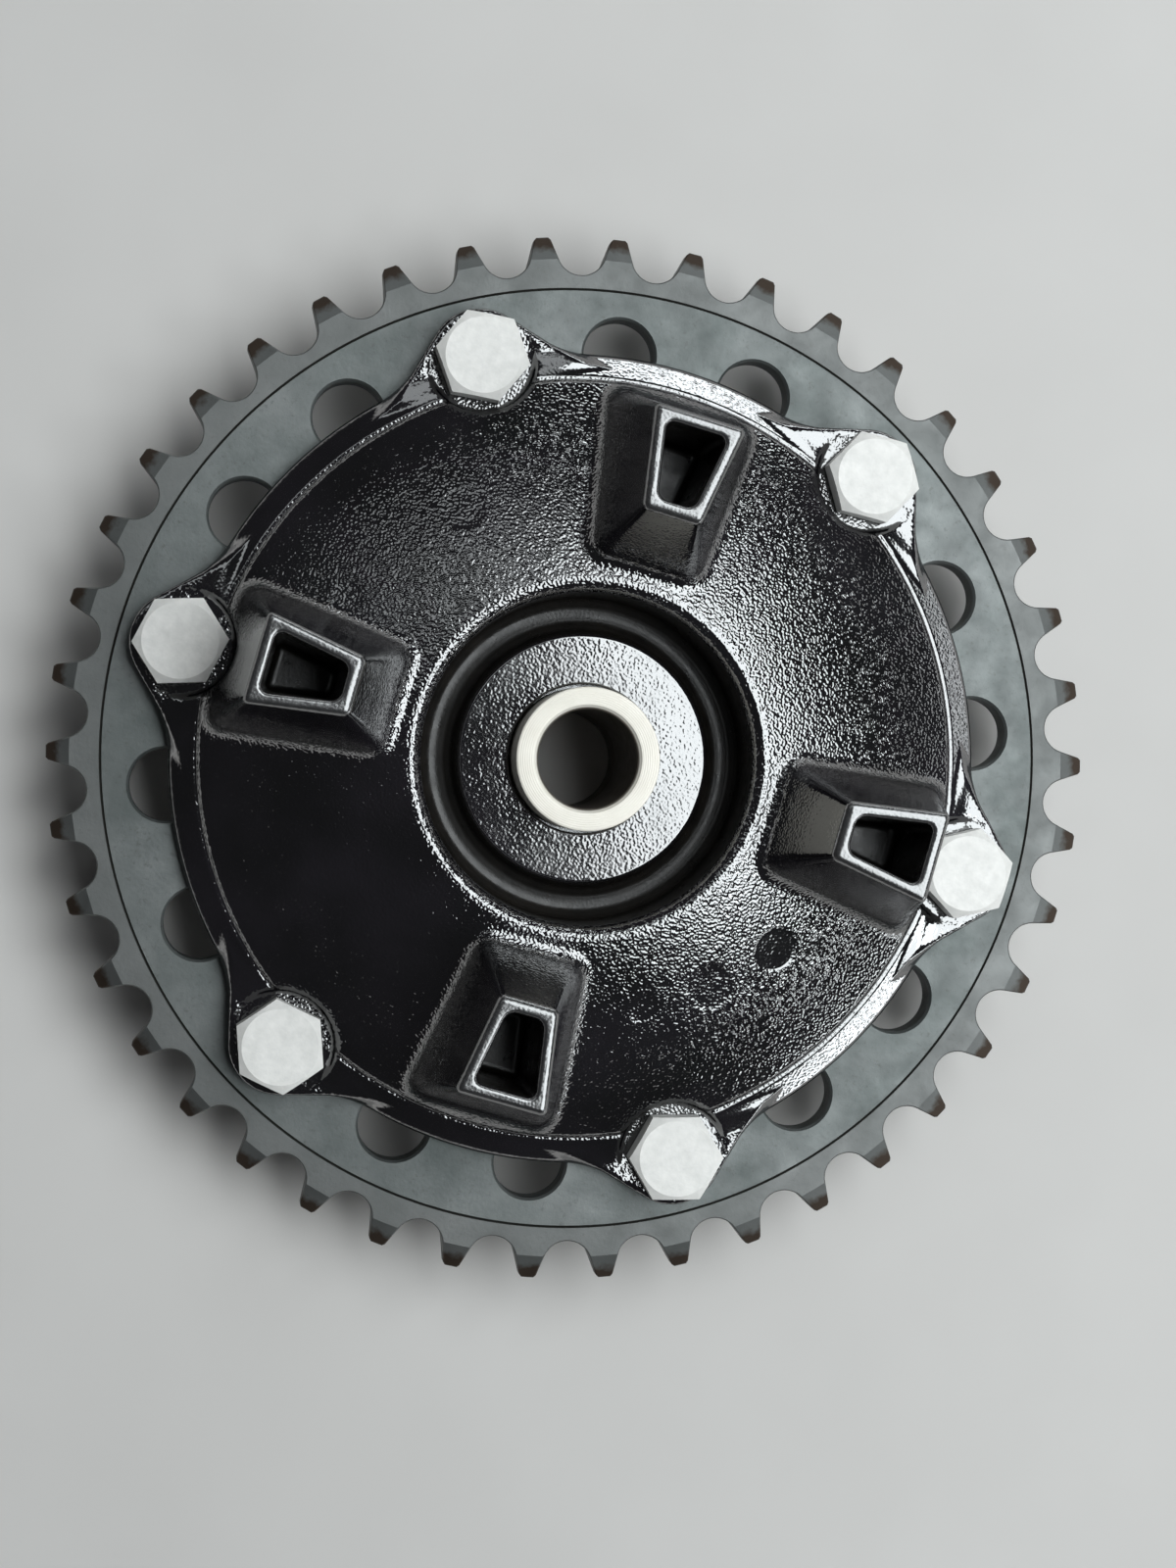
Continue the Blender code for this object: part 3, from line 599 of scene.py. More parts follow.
def lug_pocket_field(x, y, z):
    """Drafted hollow in a lug, open at its top."""
    depth = LUG_TOP_Z - z
    inset = LUG_RIM + LUG_POCKET_DRAFT * np.clip(depth / LUG_POCKET_DEPTH, 0, 1)
    taper = (LUG_TOP_HALF_OUT - LUG_TOP_HALF_IN) / (LUG_TOP_OUT - LUG_TOP_IN)
    half = LUG_TOP_HALF_IN + taper * (x - LUG_TOP_IN) - inset * math.hypot(1, taper)
    ends = np.maximum(LUG_TOP_IN + inset - x, x - LUG_TOP_OUT + inset)
    sides = (np.abs(y) - half) / math.hypot(1, taper)
    walls = round_meet(ends, sides, LUG_POCKET_CORNER)
    return round_meet(walls, depth - LUG_POCKET_DEPTH, LUG_POCKET_FLOOR)


def ear_field(x, y, z):
    """One teardrop bolt ear, measured from its bolt with x outwards."""
    run = np.abs(y) * math.cos(EAR_EDGE_ANGLE) - x * math.sin(EAR_EDGE_ANGLE)
    off = x * math.cos(EAR_EDGE_ANGLE) + np.abs(y) * math.sin(EAR_EDGE_ANGLE)
    plan = np.where(run < 0, np.hypot(x, y), off) - EAR_R
    plan = np.maximum(plan, CREASE_R - BOLT_CIRCLE_R - x)
    return np.maximum(round_meet(plan, z - EAR_TOP_Z, EAR_ROUND), FLANGE_Z - z)


def rear_pocket_field(radius, angle, z):
    """Cored hollow between two ribs, open to the rear."""
    half = math.pi / RIB_COUNT - RIB_ANGLE / 2
    sides = (np.abs(fold(angle, RIB_COUNT, math.pi / RIB_COUNT)) - half) * radius
    ends = np.maximum(LIP_R + GROOVE_WALL - radius, radius - SPIGOT_R + CONE_WALL)
    ceiling = (z - cone_z(radius) + CONE_WALL) / math.hypot(1, CONE_FALL)
    return round_meet(round_meet(ends, sides, POCKET_ROUND), ceiling, POCKET_ROUND)


def casting_field(radius, angle, z):
    """The whole casting: section, ears and lugs, less the hollows, spotfaces, holes and mould marks."""
    solid = outline_distance(radius, z, SECTION)
    bolt_turn = fold(angle, BOLT_COUNT)
    bolt_x, bolt_y = radius * np.cos(bolt_turn) - BOLT_CIRCLE_R, radius * np.sin(bolt_turn)
    bolt_off = np.hypot(bolt_x, bolt_y)
    lug_turn = fold(angle, LUG_COUNT)
    lug_x, lug_y = radius * np.cos(lug_turn), radius * np.sin(lug_turn)
    solid = round_join(solid, ear_field(bolt_x, bolt_y, z), EAR_FILLET)
    solid = round_join(solid, lug_field(lug_x, lug_y, z), LUG_FILLET)
    solid = cut(solid, lug_pocket_field(lug_x, lug_y, z), LUG_MOUTH_ROUND)
    solid = cut(solid, rear_pocket_field(radius, angle, z), EDGE_ROUND)
    spotface = round_meet(bolt_off - EAR_R - SPOTFACE_MARGIN, EAR_TOP_Z - z, SPOTFACE_ROUND)
    solid = cut(solid, spotface, SPOTFACE_ROUND)
    solid = cut(solid, bolt_off - BOLT_HOLE_R, EDGE_ROUND)
    for mark_r, mark_turn, mark_size, _ in MOULD_MARKS:
        off = np.sqrt(radius ** 2 + mark_r ** 2 - 2 * radius * mark_r * np.cos(angle - mark_turn))
        dent = np.clip(1 - (off / mark_size) ** MOULD_MARK_POWER, 0, 1)
        solid = solid + MOULD_MARK_DEPTH * np.where(z > cone_z(mark_r) - CONE_WALL / 2, dent, 0)
    return solid


def grid_lines(low, high, fine_places):
    """Even grid lines with closer ones about each of the fine places."""
    lines = [low]
    while lines[-1] < high:
        near = min(abs(lines[-1] - place) for place in fine_places) < FINE_REACH
        lines.append(lines[-1] + (FINE_STEP if near else GRID_STEP))
    return np.array(lines)


def casting_grid():
    """Field on a grid round the axle, and the turn, radius and height of the grid's lines."""
    turns = np.arange(GRID_TURN + 1) * 2 * math.pi / GRID_TURN
    radii = grid_lines(BUSH_R - GRID_MARGIN, BOLT_CIRCLE_R + EAR_R + GRID_MARGIN,
                       (HUB_FACE_R, LIP_R, CREASE_R, FLANGE_R))
    heights = grid_lines(HUB_REAR_Z - GRID_MARGIN, LUG_TOP_Z + GRID_MARGIN,
                         (EAR_TOP_Z, HUB_FACE_Z, LUG_TOP_Z))
    values = casting_field(radii[None, :, None], turns[:-1, None, None], heights[None, None, :])
    return values, (turns, radii, heights)


def surface_net(values):
    """Points, in grid steps, and quads of the zero surface of a field that repeats on its first axis."""
    wrapped = np.concatenate([values, values[:1]])
    inside = wrapped < 0
    corners = [(a, b, c) for a in (0, 1) for b in (0, 1) for c in (0, 1)]
    sizes = tuple(n - 1 for n in wrapped.shape)
    count = np.zeros(sizes, np.int8)
    for a, b, c in corners:
        count += inside[a:a + sizes[0], b:b + sizes[1], c:c + sizes[2]]
    cells = np.argwhere((count > 0) & (count < len(corners)))
    number = np.full(sizes, -1)
    number[tuple(cells.T)] = np.arange(len(cells))

    total = np.zeros((len(cells), 3))
    hits = np.zeros(len(cells))
    for axis in range(3):
        step = np.eye(3, dtype=int)[axis]
        for corner in (np.array(c) for c in corners if c[axis] == 0):
            start = cells + corner
            a, b = wrapped[tuple(start.T)], wrapped[tuple((start + step).T)]
            crossed = (a < 0) != (b < 0)
            share = np.where(crossed, a / np.where(crossed, a - b, 1), 0)
            total += np.where(crossed[:, None], start + share[:, None] * step, 0)
            hits += crossed
    quads = np.concatenate([axis_quads(inside, number, axis) for axis in range(3)])
    return total / hits[:, None], quads


def axis_quads(inside, number, axis):
    """One quad round each grid edge along an axis that crosses the surface."""
    turns = number.shape[0]
    here = inside[:turns]
    there = inside[1:] if axis == 0 else np.roll(here, -1, axis)
    crossed = here != there
    for other in (1, 2):
        for end in (0, -1):
            edge = [slice(None)] * 3
            edge[other] = end
            crossed[tuple(edge)] = False
    at = np.argwhere(crossed)
    first, second = np.eye(3, dtype=int)[[(axis + 1) % 3, (axis + 2) % 3]]
    ring = [at - first - second, at - second, at, at - first]
    picked = np.stack([number[c[:, 0] % turns, c[:, 1], c[:, 2]] for c in ring], axis=1)
    outward = here[tuple(at.T)]
    return np.where(outward[:, None], picked[:, ::-1], picked)


def casting_slope(points):
    """Gradient of the casting's field at points in x, y and z."""
    slope = np.zeros_like(points)
    for axis in range(3):
        step = np.eye(3)[axis] * SLOPE_REACH
        slope[:, axis] = (field_at(points + step) - field_at(points - step)) / (2 * SLOPE_REACH)
    return slope


def field_at(points):
    x, y, z = points.T
    return casting_field(np.hypot(x, y), np.arctan2(y, x), z)


def make_casting(material, hollow_material):
    """Zero surface of the casting's field, settled onto it, with the field's own normals."""
    values, lines = casting_grid()
    places, quads = surface_net(values)
    turn, radius, z = (np.interp(places[:, k], np.arange(len(lines[k])), lines[k]) for k in range(3))
    points = np.stack([radius * np.cos(turn), radius * np.sin(turn), z], axis=1)
    for _ in range(SETTLE_ROUNDS):
        slope = casting_slope(points)
        steep = np.linalg.norm(slope, axis=1)
        push = np.clip(field_at(points) / steep, -GRID_STEP / 2, GRID_STEP / 2)
        points = points - slope * (push / steep)[:, None]
    normals = casting_slope(points)
    normals /= np.linalg.norm(normals, axis=1)[:, None]
    mesh = bpy.data.meshes.new("carrier_casting")
    mesh.from_pydata((points * MM).tolist(), [], quads.tolist())
    mesh.shade_smooth()
    mesh.normals_split_custom_set_from_vertices(normals.tolist())
    casting = new_object("carrier_casting", mesh, material)
    mesh.materials.append(hollow_material)
    dull = in_hollow(points[quads].mean(axis=1))
    mesh.polygons.foreach_set("material_index", dull.astype(np.int32))
    mount(casting, "carrier", "black_paint", "carrier")


def in_hollow(places):
    """True for each place in the ring groove or in a lug's pocket, where the paint is dusty."""
    x, y, z = places.T
    radius = np.hypot(x, y)
    between = (radius > HUB_FACE_R + HUB_EDGE_ROUND / 2) & (radius < GROOVE_OUT_R + HUB_EDGE_ROUND)
    groove = between & (z < LIP_Z - LIP_ROUND) & (z > GROOVE_FLOOR_Z - GROOVE_DRAFT)
    turn = fold(np.arctan2(y, x), LUG_COUNT)
    walls = lug_pocket_field(radius * np.cos(turn), radius * np.sin(turn), z)
    return groove | ((walls < EDGE_ROUND) & (z < LUG_TOP_Z - 2 * LUG_MOUTH_ROUND))


# Sprocket plate

def tooth_outline():
    """Radius and angle of every point round the teeth, in order."""
    half_pitch = math.pi / TOOTH_COUNT
    flank = 1 / math.tan(ROLLER_SEAT_HALF)
    side = []
    for k in range(SEAT_STEPS + 1):
        a = ROLLER_SEAT_HALF * k / SEAT_STEPS
        side.append((PITCH_R - ROLLER_SEAT_R * math.cos(a), ROLLER_SEAT_R * math.sin(a)))
    foot_x, foot_y = side[-1]
    for radius in (BEVEL_R, (BEVEL_R + TIP_R) / 2, TIP_R - TIP_CORNER):
        b = foot_x + foot_y * flank
        c = foot_x ** 2 + foot_y ** 2 - radius ** 2
        run = (-b + math.sqrt(b * b - c * (1 + flank ** 2))) / (1 + flank ** 2)
        if run > 0:
            side.append((foot_x + run, foot_y + run * flank))
    rising = [(math.hypot(x, y), math.atan2(y, x) - half_pitch) for x, y in side]
    shoulder = -rising[-1][1] - TIP_CORNER / TIP_R
    tip = [(TIP_R, shoulder * (2 * k / TIP_STEPS - 1)) for k in range(TIP_STEPS + 1)]
    falling = [(r, -a) for r, a in rising[:0:-1]]
    tooth = rising + tip + falling
    turns = [TOOTH_LEAD + 2 * math.pi * k / TOOTH_COUNT for k in range(TOOTH_COUNT)]
    return [(r, a + turn) for turn in turns for r, a in tooth]


def drawn_in(outline, inset):
    """The same outline moved in by an even inset."""
    flat = np.array([polar(r, a, 0)[:2] for r, a in outline])
    along = np.roll(flat, -1, axis=0) - np.roll(flat, 1, axis=0)
    along /= np.linalg.norm(along, axis=1)[:, None]
    moved = flat + inset * np.stack([-along[:, 1], along[:, 0]], axis=1)
    return [(math.hypot(x, y), math.atan2(y, x)) for x, y in moved]


def plate_face(skin, level, up):
    """One side of the plate. Gives the loops of its tooth edge, bore pieces and hole rims."""
    def height(radius):
        return level - up * max(0.0, radius - BEVEL_R) * TIP_DROP / TIP_BEVEL

    edge = tooth_outline()
    inset = drawn_in(edge, EDGE_BREAK)
    line_mid = skin.loop([polar(LINE_R, a, level - up * LINE_DEPTH) for _, a in inset])
    line_out = skin.loop([polar(LINE_R + LINE_HALF, a, level) for _, a in inset])
    shoulder = skin.loop([polar(min(r, BEVEL_R), a, level) for r, a in inset])
    crown = list(shoulder)
    for k, (r, a) in enumerate(inset):
        if r > BEVEL_R:
            crown[k] = skin.loop([polar(r, a, height(r))])[0]
    rim = skin.loop([polar(r, a, height(r) - up * EDGE_BREAK) for r, a in edge])
    skin.chain([line_mid, line_out, shoulder, crown, rim])

    line_in, bore, holes = [], [], []
    for index in range(HOLE_COUNT):
        outer, inner, wall = hole_patch(skin, index, level, up)
        line_in += outer[:-1]
        bore.append(inner)
        holes.append(wall)
    skin.stitch(line_in, line_mid)
    return rim, bore, holes


def hole_patch(skin, index, level, up):
    """Flat sector of the plate round one hole: its outer arc, inner arc and hole wall."""
    half = math.pi / HOLE_COUNT
    middle = 2 * half * index
    outer_r = LINE_R - LINE_HALF
    shares = [k / PATCH_STEPS for k in range(PATCH_STEPS)]
    border = [(outer_r, half * (2 * s - 1)) for s in shares]
    border += [(blend(outer_r, BORE_R, s), half) for s in shares]
    border += [(BORE_R, half * (1 - 2 * s)) for s in shares]
    border += [(blend(BORE_R, outer_r, s), -half) for s in shares]
    frame_loop = skin.loop([polar(r, middle + a, level) for r, a in border])
    radius = BOLT_HOLE_R if index % (HOLE_COUNT // BOLT_COUNT) == 0 else HOLE_R
    centre = polar(BOLT_CIRCLE_R, middle, 0)
    lead = middle - math.pi / 4
    mouth = skin.loop(circle(radius + HOLE_BREAK, level, len(border), centre, lead))
    wall = skin.loop(circle(radius, level - up * HOLE_BREAK, len(border), centre, lead))
    skin.chain([frame_loop, mouth, wall])
    outer = frame_loop[:PATCH_STEPS + 1]
    inner = frame_loop[2 * PATCH_STEPS:3 * PATCH_STEPS + 1]
    return outer, inner, wall


def make_sprocket(material):
    skin = Skin()
    top_rim, top_bore, top_holes = plate_face(skin, FACE_Z, 1)
    low_rim, low_bore, low_holes = plate_face(skin, BACK_Z, -1)
    skin.bridge(top_rim, low_rim)
    for one, two in zip(top_holes, low_holes):
        skin.bridge(one, two)
    for one, two in zip(top_bore, low_bore):
        skin.bridge(one, two, closed=False)
    plate = skin.piece("sprocket_plate", material, PLATE_SHARP_ANGLE)
    mount(plate, "carrier", "sprocket_steel", "sprocket")


# Bolts, nuts and washers

def hex_radius(turn, half):
    return half / math.cos(fold(turn, HEX_SIDES, math.pi / HEX_SIDES))


def hex_end(skin, face_z, up, turn, centre):
    """Chamfered end of a hexagon: its flat face's rim and its wall's edge."""
    face_r = HEX_HALF * HEX_FACE_SHARE
    wall = []
    for k in range(HEX_POINTS):
        a = 2 * math.pi * k / HEX_POINTS
        r = hex_radius(a, HEX_HALF)
        wall.append(polar(r, a + turn, face_z - up * (r - face_r) * HEX_CONE, centre))
    face = skin.loop(circle(face_r, face_z, HEX_POINTS, centre, turn))
    edge = skin.loop(wall)
    skin.bridge(face, edge)
    return face, edge


def thread_loops(skin, centre, low, turn):
    """Helical thread from just above the bolt's tip, and the plain shank's start."""
    loops = []
    for level in range(THREAD_TURNS * THREAD_STEPS + 1):
        rise = level / THREAD_STEPS
        crest = BOLT_R * min(1.0, THREAD_TIP_START + rise) ** THREAD_TIP_POWER
        points = []
        for k in range(THREAD_POINTS):
            phase = (rise - k / THREAD_POINTS) % 1
            r = crest - THREAD_DEPTH * abs(2 * phase - 1)
            a = turn + 2 * math.pi * k / THREAD_POINTS
            points.append(polar(r, a, low + rise * THREAD_PITCH, centre))
        loops.append(skin.loop(points))
    top = low + THREAD_TURNS * THREAD_PITCH
    loops.append(skin.loop(circle(BOLT_R, top + THREAD_DEPTH, THREAD_POINTS, centre, turn)))
    return loops


def make_bolt(name, centre, turn, material):
    skin = Skin()
    underside = HEAD_TOP_Z - BOLT_HEAD_H
    face, edge = hex_end(skin, HEAD_TOP_Z, 1, turn, centre)
    skin.fill(face)
    low_wall = [(x, y, underside + HEX_BREAK) for x, y, _ in (skin.points[k] for k in edge)]
    low = skin.loop(low_wall)
    seat = skin.loop(circle(HEX_HALF - HEX_BREAK, underside, HEX_POINTS, centre, turn))
    neck = skin.loop(circle(BOLT_R, underside, HEX_POINTS, centre, turn))
    skin.chain([edge, low, seat, neck])
    threads = thread_loops(skin, centre, BOLT_TIP_Z, turn)
    skin.fill(threads[0])
    skin.chain(threads)
    skin.stitch(neck, threads[-1], centre)
    mount(skin.piece(name + "_fine", material), "carrier", "zinc_plate", name)


def make_nut(name, centre, turn, material):
    skin = Skin()
    bore_r = BOLT_R + SEAT_GAP / 2
    mouth_r = BOLT_R + THREAD_DEPTH
    ends = []
    for level, up in ((NUT_TOP_Z, 1), (NUT_BACK_Z, -1)):
        face, edge = hex_end(skin, level, up, turn, centre)
        mouth = skin.loop(circle(mouth_r, level, HEX_POINTS, centre, turn))
        throat = skin.loop(circle(bore_r, level - up * THREAD_DEPTH, HEX_POINTS, centre, turn))
        skin.chain([face, mouth, throat])
        ends.append((edge, throat))
    skin.bridge(ends[0][0], ends[1][0])
    skin.bridge(ends[0][1], ends[1][1])
    mount(skin.piece(name + "_fine", material), "carrier", "zinc_plate", name)


def make_fasteners(material):
    for index in range(BOLT_COUNT):
        turn = 2 * math.pi * index / BOLT_COUNT
        centre = polar(BOLT_CIRCLE_R, turn, 0)
        number = index + 1
        make_bolt(f"bolt_{number}", centre, turn + BOLT_TURNS[index], material)
        make_nut(f"nut_{number}", centre, turn - BOLT_TURNS[index], material)
        washer = turned(f"washer_{number}_fine", [
            (BOLT_HOLE_R, WASHER_TOP_Z, EDGE_BREAK), (WASHER_R, WASHER_TOP_Z, EDGE_BREAK),
            (WASHER_R, WASHER_BACK_Z, EDGE_BREAK), (BOLT_HOLE_R, WASHER_BACK_Z, EDGE_BREAK),
        ], material, centre, HEX_POINTS)
        mount(washer, "carrier", "zinc_plate", f"washer_{number}")


# Axle bush, collar and dust seal

def make_axle_core(steel, rubber):
    spigot = BEARING_BORE_R - SEAT_GAP
    shoulder = BEARING_TOP_Z + SEAT_GAP
    bush = turned("axle_bush_fine", [
        (AXLE_BORE_R + BUSH_CHAMFER, BUSH_TOP_Z, EDGE_BREAK), (BUSH_R, BUSH_TOP_Z, BUSH_ROUND),
        (BUSH_R, shoulder, EDGE_BREAK), (spigot, shoulder, EDGE_BREAK), (spigot, BUSH_FOOT_Z, EDGE_BREAK),
        (AXLE_BORE_R, BUSH_FOOT_Z, EDGE_BREAK), (AXLE_BORE_R, BUSH_TOP_Z - BUSH_CHAMFER, EDGE_BREAK),
    ], steel)
    mount(bush, "axle", "bush_steel", "axle_bush")
    step = COLLAR_TOP_Z - COLLAR_NOSE_L
    collar = turned("outer_collar_fine", [
        (AXLE_BORE_R, COLLAR_TOP_Z, EDGE_BREAK), (INNER_LAND_R, COLLAR_TOP_Z, EDGE_BREAK),
        (INNER_LAND_R, step, EDGE_BREAK), (COLLAR_NECK_R, step, EDGE_BREAK),
        (COLLAR_NECK_R, COLLAR_RIM_T, EDGE_BREAK), (COLLAR_RIM_R, COLLAR_RIM_T, EDGE_BREAK),
        (COLLAR_RIM_R, 0, EDGE_BREAK), (AXLE_BORE_R, 0, EDGE_BREAK),
    ], steel)
    mount(collar, "axle", "bush_steel", "outer_collar")
    lip = COLLAR_NECK_R + SEAT_GAP
    skin_in = SEAL_R - SEAL_SKIN
    seal = turned("dust_seal_fine", [
        (SEAL_R, SEAL_TOP_Z, EDGE_BREAK), (SEAL_R, SEAL_BACK_Z, EDGE_ROUND),
        (lip + SEAL_SKIN / 2, SEAL_BACK_Z, EDGE_BREAK), (lip, SEAL_BACK_Z + SEAL_SKIN / 2, EDGE_BREAK),
        (lip + SEAL_SKIN / 2, SEAL_BACK_Z + SEAL_SKIN, EDGE_BREAK),
        (skin_in, SEAL_BACK_Z + SEAL_SKIN, EDGE_BREAK), (skin_in, SEAL_TOP_Z, EDGE_BREAK),
    ], rubber)
    mount(seal, "carrier", "seal_rubber", "dust_seal")


# Finishes

def finish(name, metallic, specular=0.5):
    material = bpy.data.materials.new(name)
    material.use_nodes = True
    shader = material.node_tree.nodes["Principled BSDF"]
    shader.inputs["Metallic"].default_value = metallic
    shader.inputs["Specular IOR Level"].default_value = specular
    return material, material.node_tree, shader


def add(tree, kind, inputs, **settings):
    """New node; each input is a plain value or the output of another node."""
    made = tree.nodes.new(kind)
    for key, value in settings.items():
        setattr(made, key, value)
    for key, value in inputs.items():
        if isinstance(value, bpy.types.NodeSocket):
            tree.links.new(value, made.inputs[key])
        else:
            made.inputs[key].default_value = value
    return made


def link(tree, shader, socket, value):
    tree.links.new(value, shader.inputs[socket])


def place(tree):
    return add(tree, "ShaderNodeTexCoord", {}).outputs["Object"]


def axis_place(tree):
    """Radius and height about the axle in metres."""
    parts = add(tree, "ShaderNodeSeparateXYZ", {0: place(tree)})
    flat = add(tree, "ShaderNodeCombineXYZ", {0: parts.outputs[0], 1: parts.outputs[1]})
    radius = add(tree, "ShaderNodeVectorMath", {0: flat.outputs[0]}, operation='LENGTH').outputs["Value"]
    return radius, parts.outputs[2]


def noise(tree, grain, detail=2.0, roughness=0.5):
    """Even noise whose grains are about this many millimetres across."""
    inputs = {"Vector": place(tree), "Scale": 1 / (grain * MM), "Detail": detail, "Roughness": roughness}
    return add(tree, "ShaderNodeTexNoise", inputs).outputs["Fac"]


def sums(tree, operation, one, two=0.0):
    return add(tree, "ShaderNodeMath", {0: one, 1: two}, operation=operation).outputs[0]


def span(tree, value, low, high, start=0.0, end=1.0):
    """Value that runs from start to end while another runs from low to high."""
    inputs = {"Value": value, "From Min": low, "From Max": high, "To Min": start, "To Max": end}
    return add(tree, "ShaderNodeMapRange", inputs).outputs["Result"]


def over(tree, length, low, high, start=0.0, end=1.0):
    """Span over a length in metres, between sizes in millimetres."""
    return span(tree, length, low * MM, high * MM, start, end)


def varied(tree, value, start=0.0, end=1.0):
    """Span over the middle of a noise."""
    return span(tree, value, NOISE_LOW, NOISE_HIGH, start, end)


def mixed(tree, share, one, two):
    """Colour between two colours, by the node's colour sockets: inputs 6 and 7, output 2."""
    ends = [c if isinstance(c, bpy.types.NodeSocket) else (*c, 1.0) for c in (one, two)]
    return add(tree, "ShaderNodeMix", {0: share, 6: ends[0], 7: ends[1]}, data_type='RGBA').outputs[2]


def clouded(tree, dark, light, **grains):
    """Colour that wanders between two colours."""
    return mixed(tree, varied(tree, noise(tree, **grains)), dark, light)


def roughened(tree, shader, low, high, **grains):
    link(tree, shader, "Roughness", varied(tree, noise(tree, **grains), low, high))


def bumped(tree, shader, height, depth):
    """Relief this many millimetres deep."""
    made = add(tree, "ShaderNodeBump", {"Height": height, "Distance": depth * MM, "Strength": 1.0})
    link(tree, shader, "Normal", made.outputs["Normal"])


def peel_share(tree, radius, height):
    """Share of the paint's grain: less on the hub, edge, rim, ears, lug tops and mould marks."""
    share = over(tree, radius, HUB_FACE_R, LIP_R + PEEL_STEP, PEEL_ON_HUB, 1.0)
    for fade in (
            over(tree, radius, CREASE_R - PEEL_EDGE_START, CREASE_R - PEEL_EDGE_END, 1.0, PEEL_ON_EDGE),
            over(tree, radius, CREASE_R - PEEL_STEP, CREASE_R, 1.0, PEEL_ON_RIM),
            over(tree, height, LIP_Z, LIP_Z + PEEL_LUG_FADE, 1.0, PEEL_ON_LUG)):
        share = sums(tree, 'MINIMUM', share, fade)
    on_ear = over(tree, radius, FLANGE_R, FLANGE_R + PEEL_STEP, 0.0, PEEL_ON_EAR)
    share = sums(tree, 'MAXIMUM', share, on_ear)
    for mark_r, mark_turn, mark_size, mark_grain in MOULD_MARKS:
        centre = [v * MM for v in polar(mark_r, mark_turn, cone_z(mark_r))]
        gap = add(tree, "ShaderNodeVectorMath", {0: place(tree), 1: centre}, operation='DISTANCE')
        off = gap.outputs["Value"]
        in_mark = over(tree, off, mark_size - MOULD_MARK_EDGE, mark_size, mark_grain, 1.0)
        share = sums(tree, 'MULTIPLY', share, in_mark)
    return share


def black_paint():
    """Gloss paint with an orange-peel grain, scuffed on the tops of the lugs."""
    material, tree, shader = finish("gloss_black", metallic=0.0, specular=1.0)
    shader.inputs["IOR"].default_value = PAINT_IOR
    radius, height = axis_place(tree)
    haze = span(tree, noise(tree, grain=22, detail=3), PAINT_HAZE_LOW, NOISE_HIGH)
    base = mixed(tree, haze, PAINT_DARK, PAINT_HAZE)
    lug_top = over(tree, height, LUG_TOP_Z - SCUFF_START, LUG_TOP_Z - SCUFF_END)
    scuffs = mixed(tree, noise(tree, grain=1.6), SCUFF_DARK, SCUFF_LIGHT)
    link(tree, shader, "Base Color", mixed(tree, lug_top, base, scuffs))
    gloss = varied(tree, noise(tree, grain=9), start=0.06, end=0.12)
    dull = sums(tree, 'MULTIPLY', lug_top, SCUFF_ROUGH)
    link(tree, shader, "Roughness", sums(tree, 'ADD', gloss, dull))
    wave = sums(tree, 'MULTIPLY', noise(tree, grain=1.3, detail=0), PEEL_WAVE_SHARE)
    peel = sums(tree, 'ADD', noise(tree, grain=0.55, detail=0), wave)
    relief = sums(tree, 'MULTIPLY', peel, peel_share(tree, radius, height))
    bumped(tree, shader, relief, PEEL_DEPTH)
    return material


def sprocket_steel():
    """Clouded grey plate with a plainer tooth ring, a painted dark reflection on the tooth tips and
    painted shade in the scribed line.
    """
    material, tree, shader = finish("clouded_steel", metallic=0.75)
    radius, _ = axis_place(tree)
    base = clouded(tree, STEEL_DARK, STEEL_LIGHT, grain=16, detail=5, roughness=0.6)
    specks = span(tree, noise(tree, grain=1.2, detail=3, roughness=0.7), SPECK_LOW, SPECK_HIGH)
    base = mixed(tree, sums(tree, 'MULTIPLY', specks, SPECK_SHARE), base, SPECK_SHADE)
    tooth_ring = over(tree, radius, LINE_R, LINE_R + TOOTH_RING_STEP)
    base = mixed(tree, sums(tree, 'MULTIPLY', tooth_ring, TOOTH_RING_SHARE), base, TOOTH_RING_SHADE)
    # Painted reflection: the tooth tips are coloured dark reddish brown towards their ends
    wander = varied(tree, noise(tree, grain=3, detail=3, roughness=0.6), -TIP_REFLECTION_WANDER, TIP_REFLECTION_WANDER)
    ragged_r = sums(tree, 'ADD', sums(tree, 'DIVIDE', radius, MM), wander)
    reflection_r = TIP_R - TIP_REFLECTION_REACH
    tip_reflection = span(tree, ragged_r, reflection_r - TIP_REFLECTION_START, reflection_r + TIP_REFLECTION_END)
    base = mixed(tree, tip_reflection, base, TIP_REFLECTION_SHADE)
    # Painted shade: the scribed groove is coloured darker than the plate
    off_line = sums(tree, 'ABSOLUTE', sums(tree, 'SUBTRACT', radius, LINE_R * MM))
    groove_shade = over(tree, off_line, LINE_HALF * LINE_SOLID, LINE_HALF * LINE_FADE, 1.0, 0.0)
    link(tree, shader, "Base Color", mixed(tree, groove_shade, base, GROOVE_PAINTED_SHADE))
    roughened(tree, shader, low=0.42, high=0.58, grain=7, detail=4, roughness=0.6)
    bumped(tree, shader, noise(tree, grain=0.9, detail=3, roughness=0.6), depth=0.03)
    return material


def bush_steel():
    """Ivory plating with turning rings, and painted shade that darkens the bore."""
    material, tree, shader = finish("turned_ivory", metallic=0.15)
    radius, _ = axis_place(tree)
    ivory = clouded(tree, IVORY_DARK, IVORY_LIGHT, grain=4, detail=3)
    # Painted shade: the bore wall is coloured dark
    bore = over(tree, radius, AXLE_BORE_R + BORE_FADE_START, AXLE_BORE_R + BORE_FADE_END, 1.0, 0.0)
    link(tree, shader, "Base Color", mixed(tree, bore, ivory, BORE_PAINTED_SHADE))
    roughened(tree, shader, low=0.44, high=0.58, grain=2, detail=3)
    rings = sums(tree, 'SINE', sums(tree, 'MULTIPLY', radius, 2 * math.pi / (TURNING_PITCH * MM)))
    bumped(tree, shader, sums(tree, 'ADD', rings, noise(tree, grain=1.0)), TURNING_DEPTH)
    return material


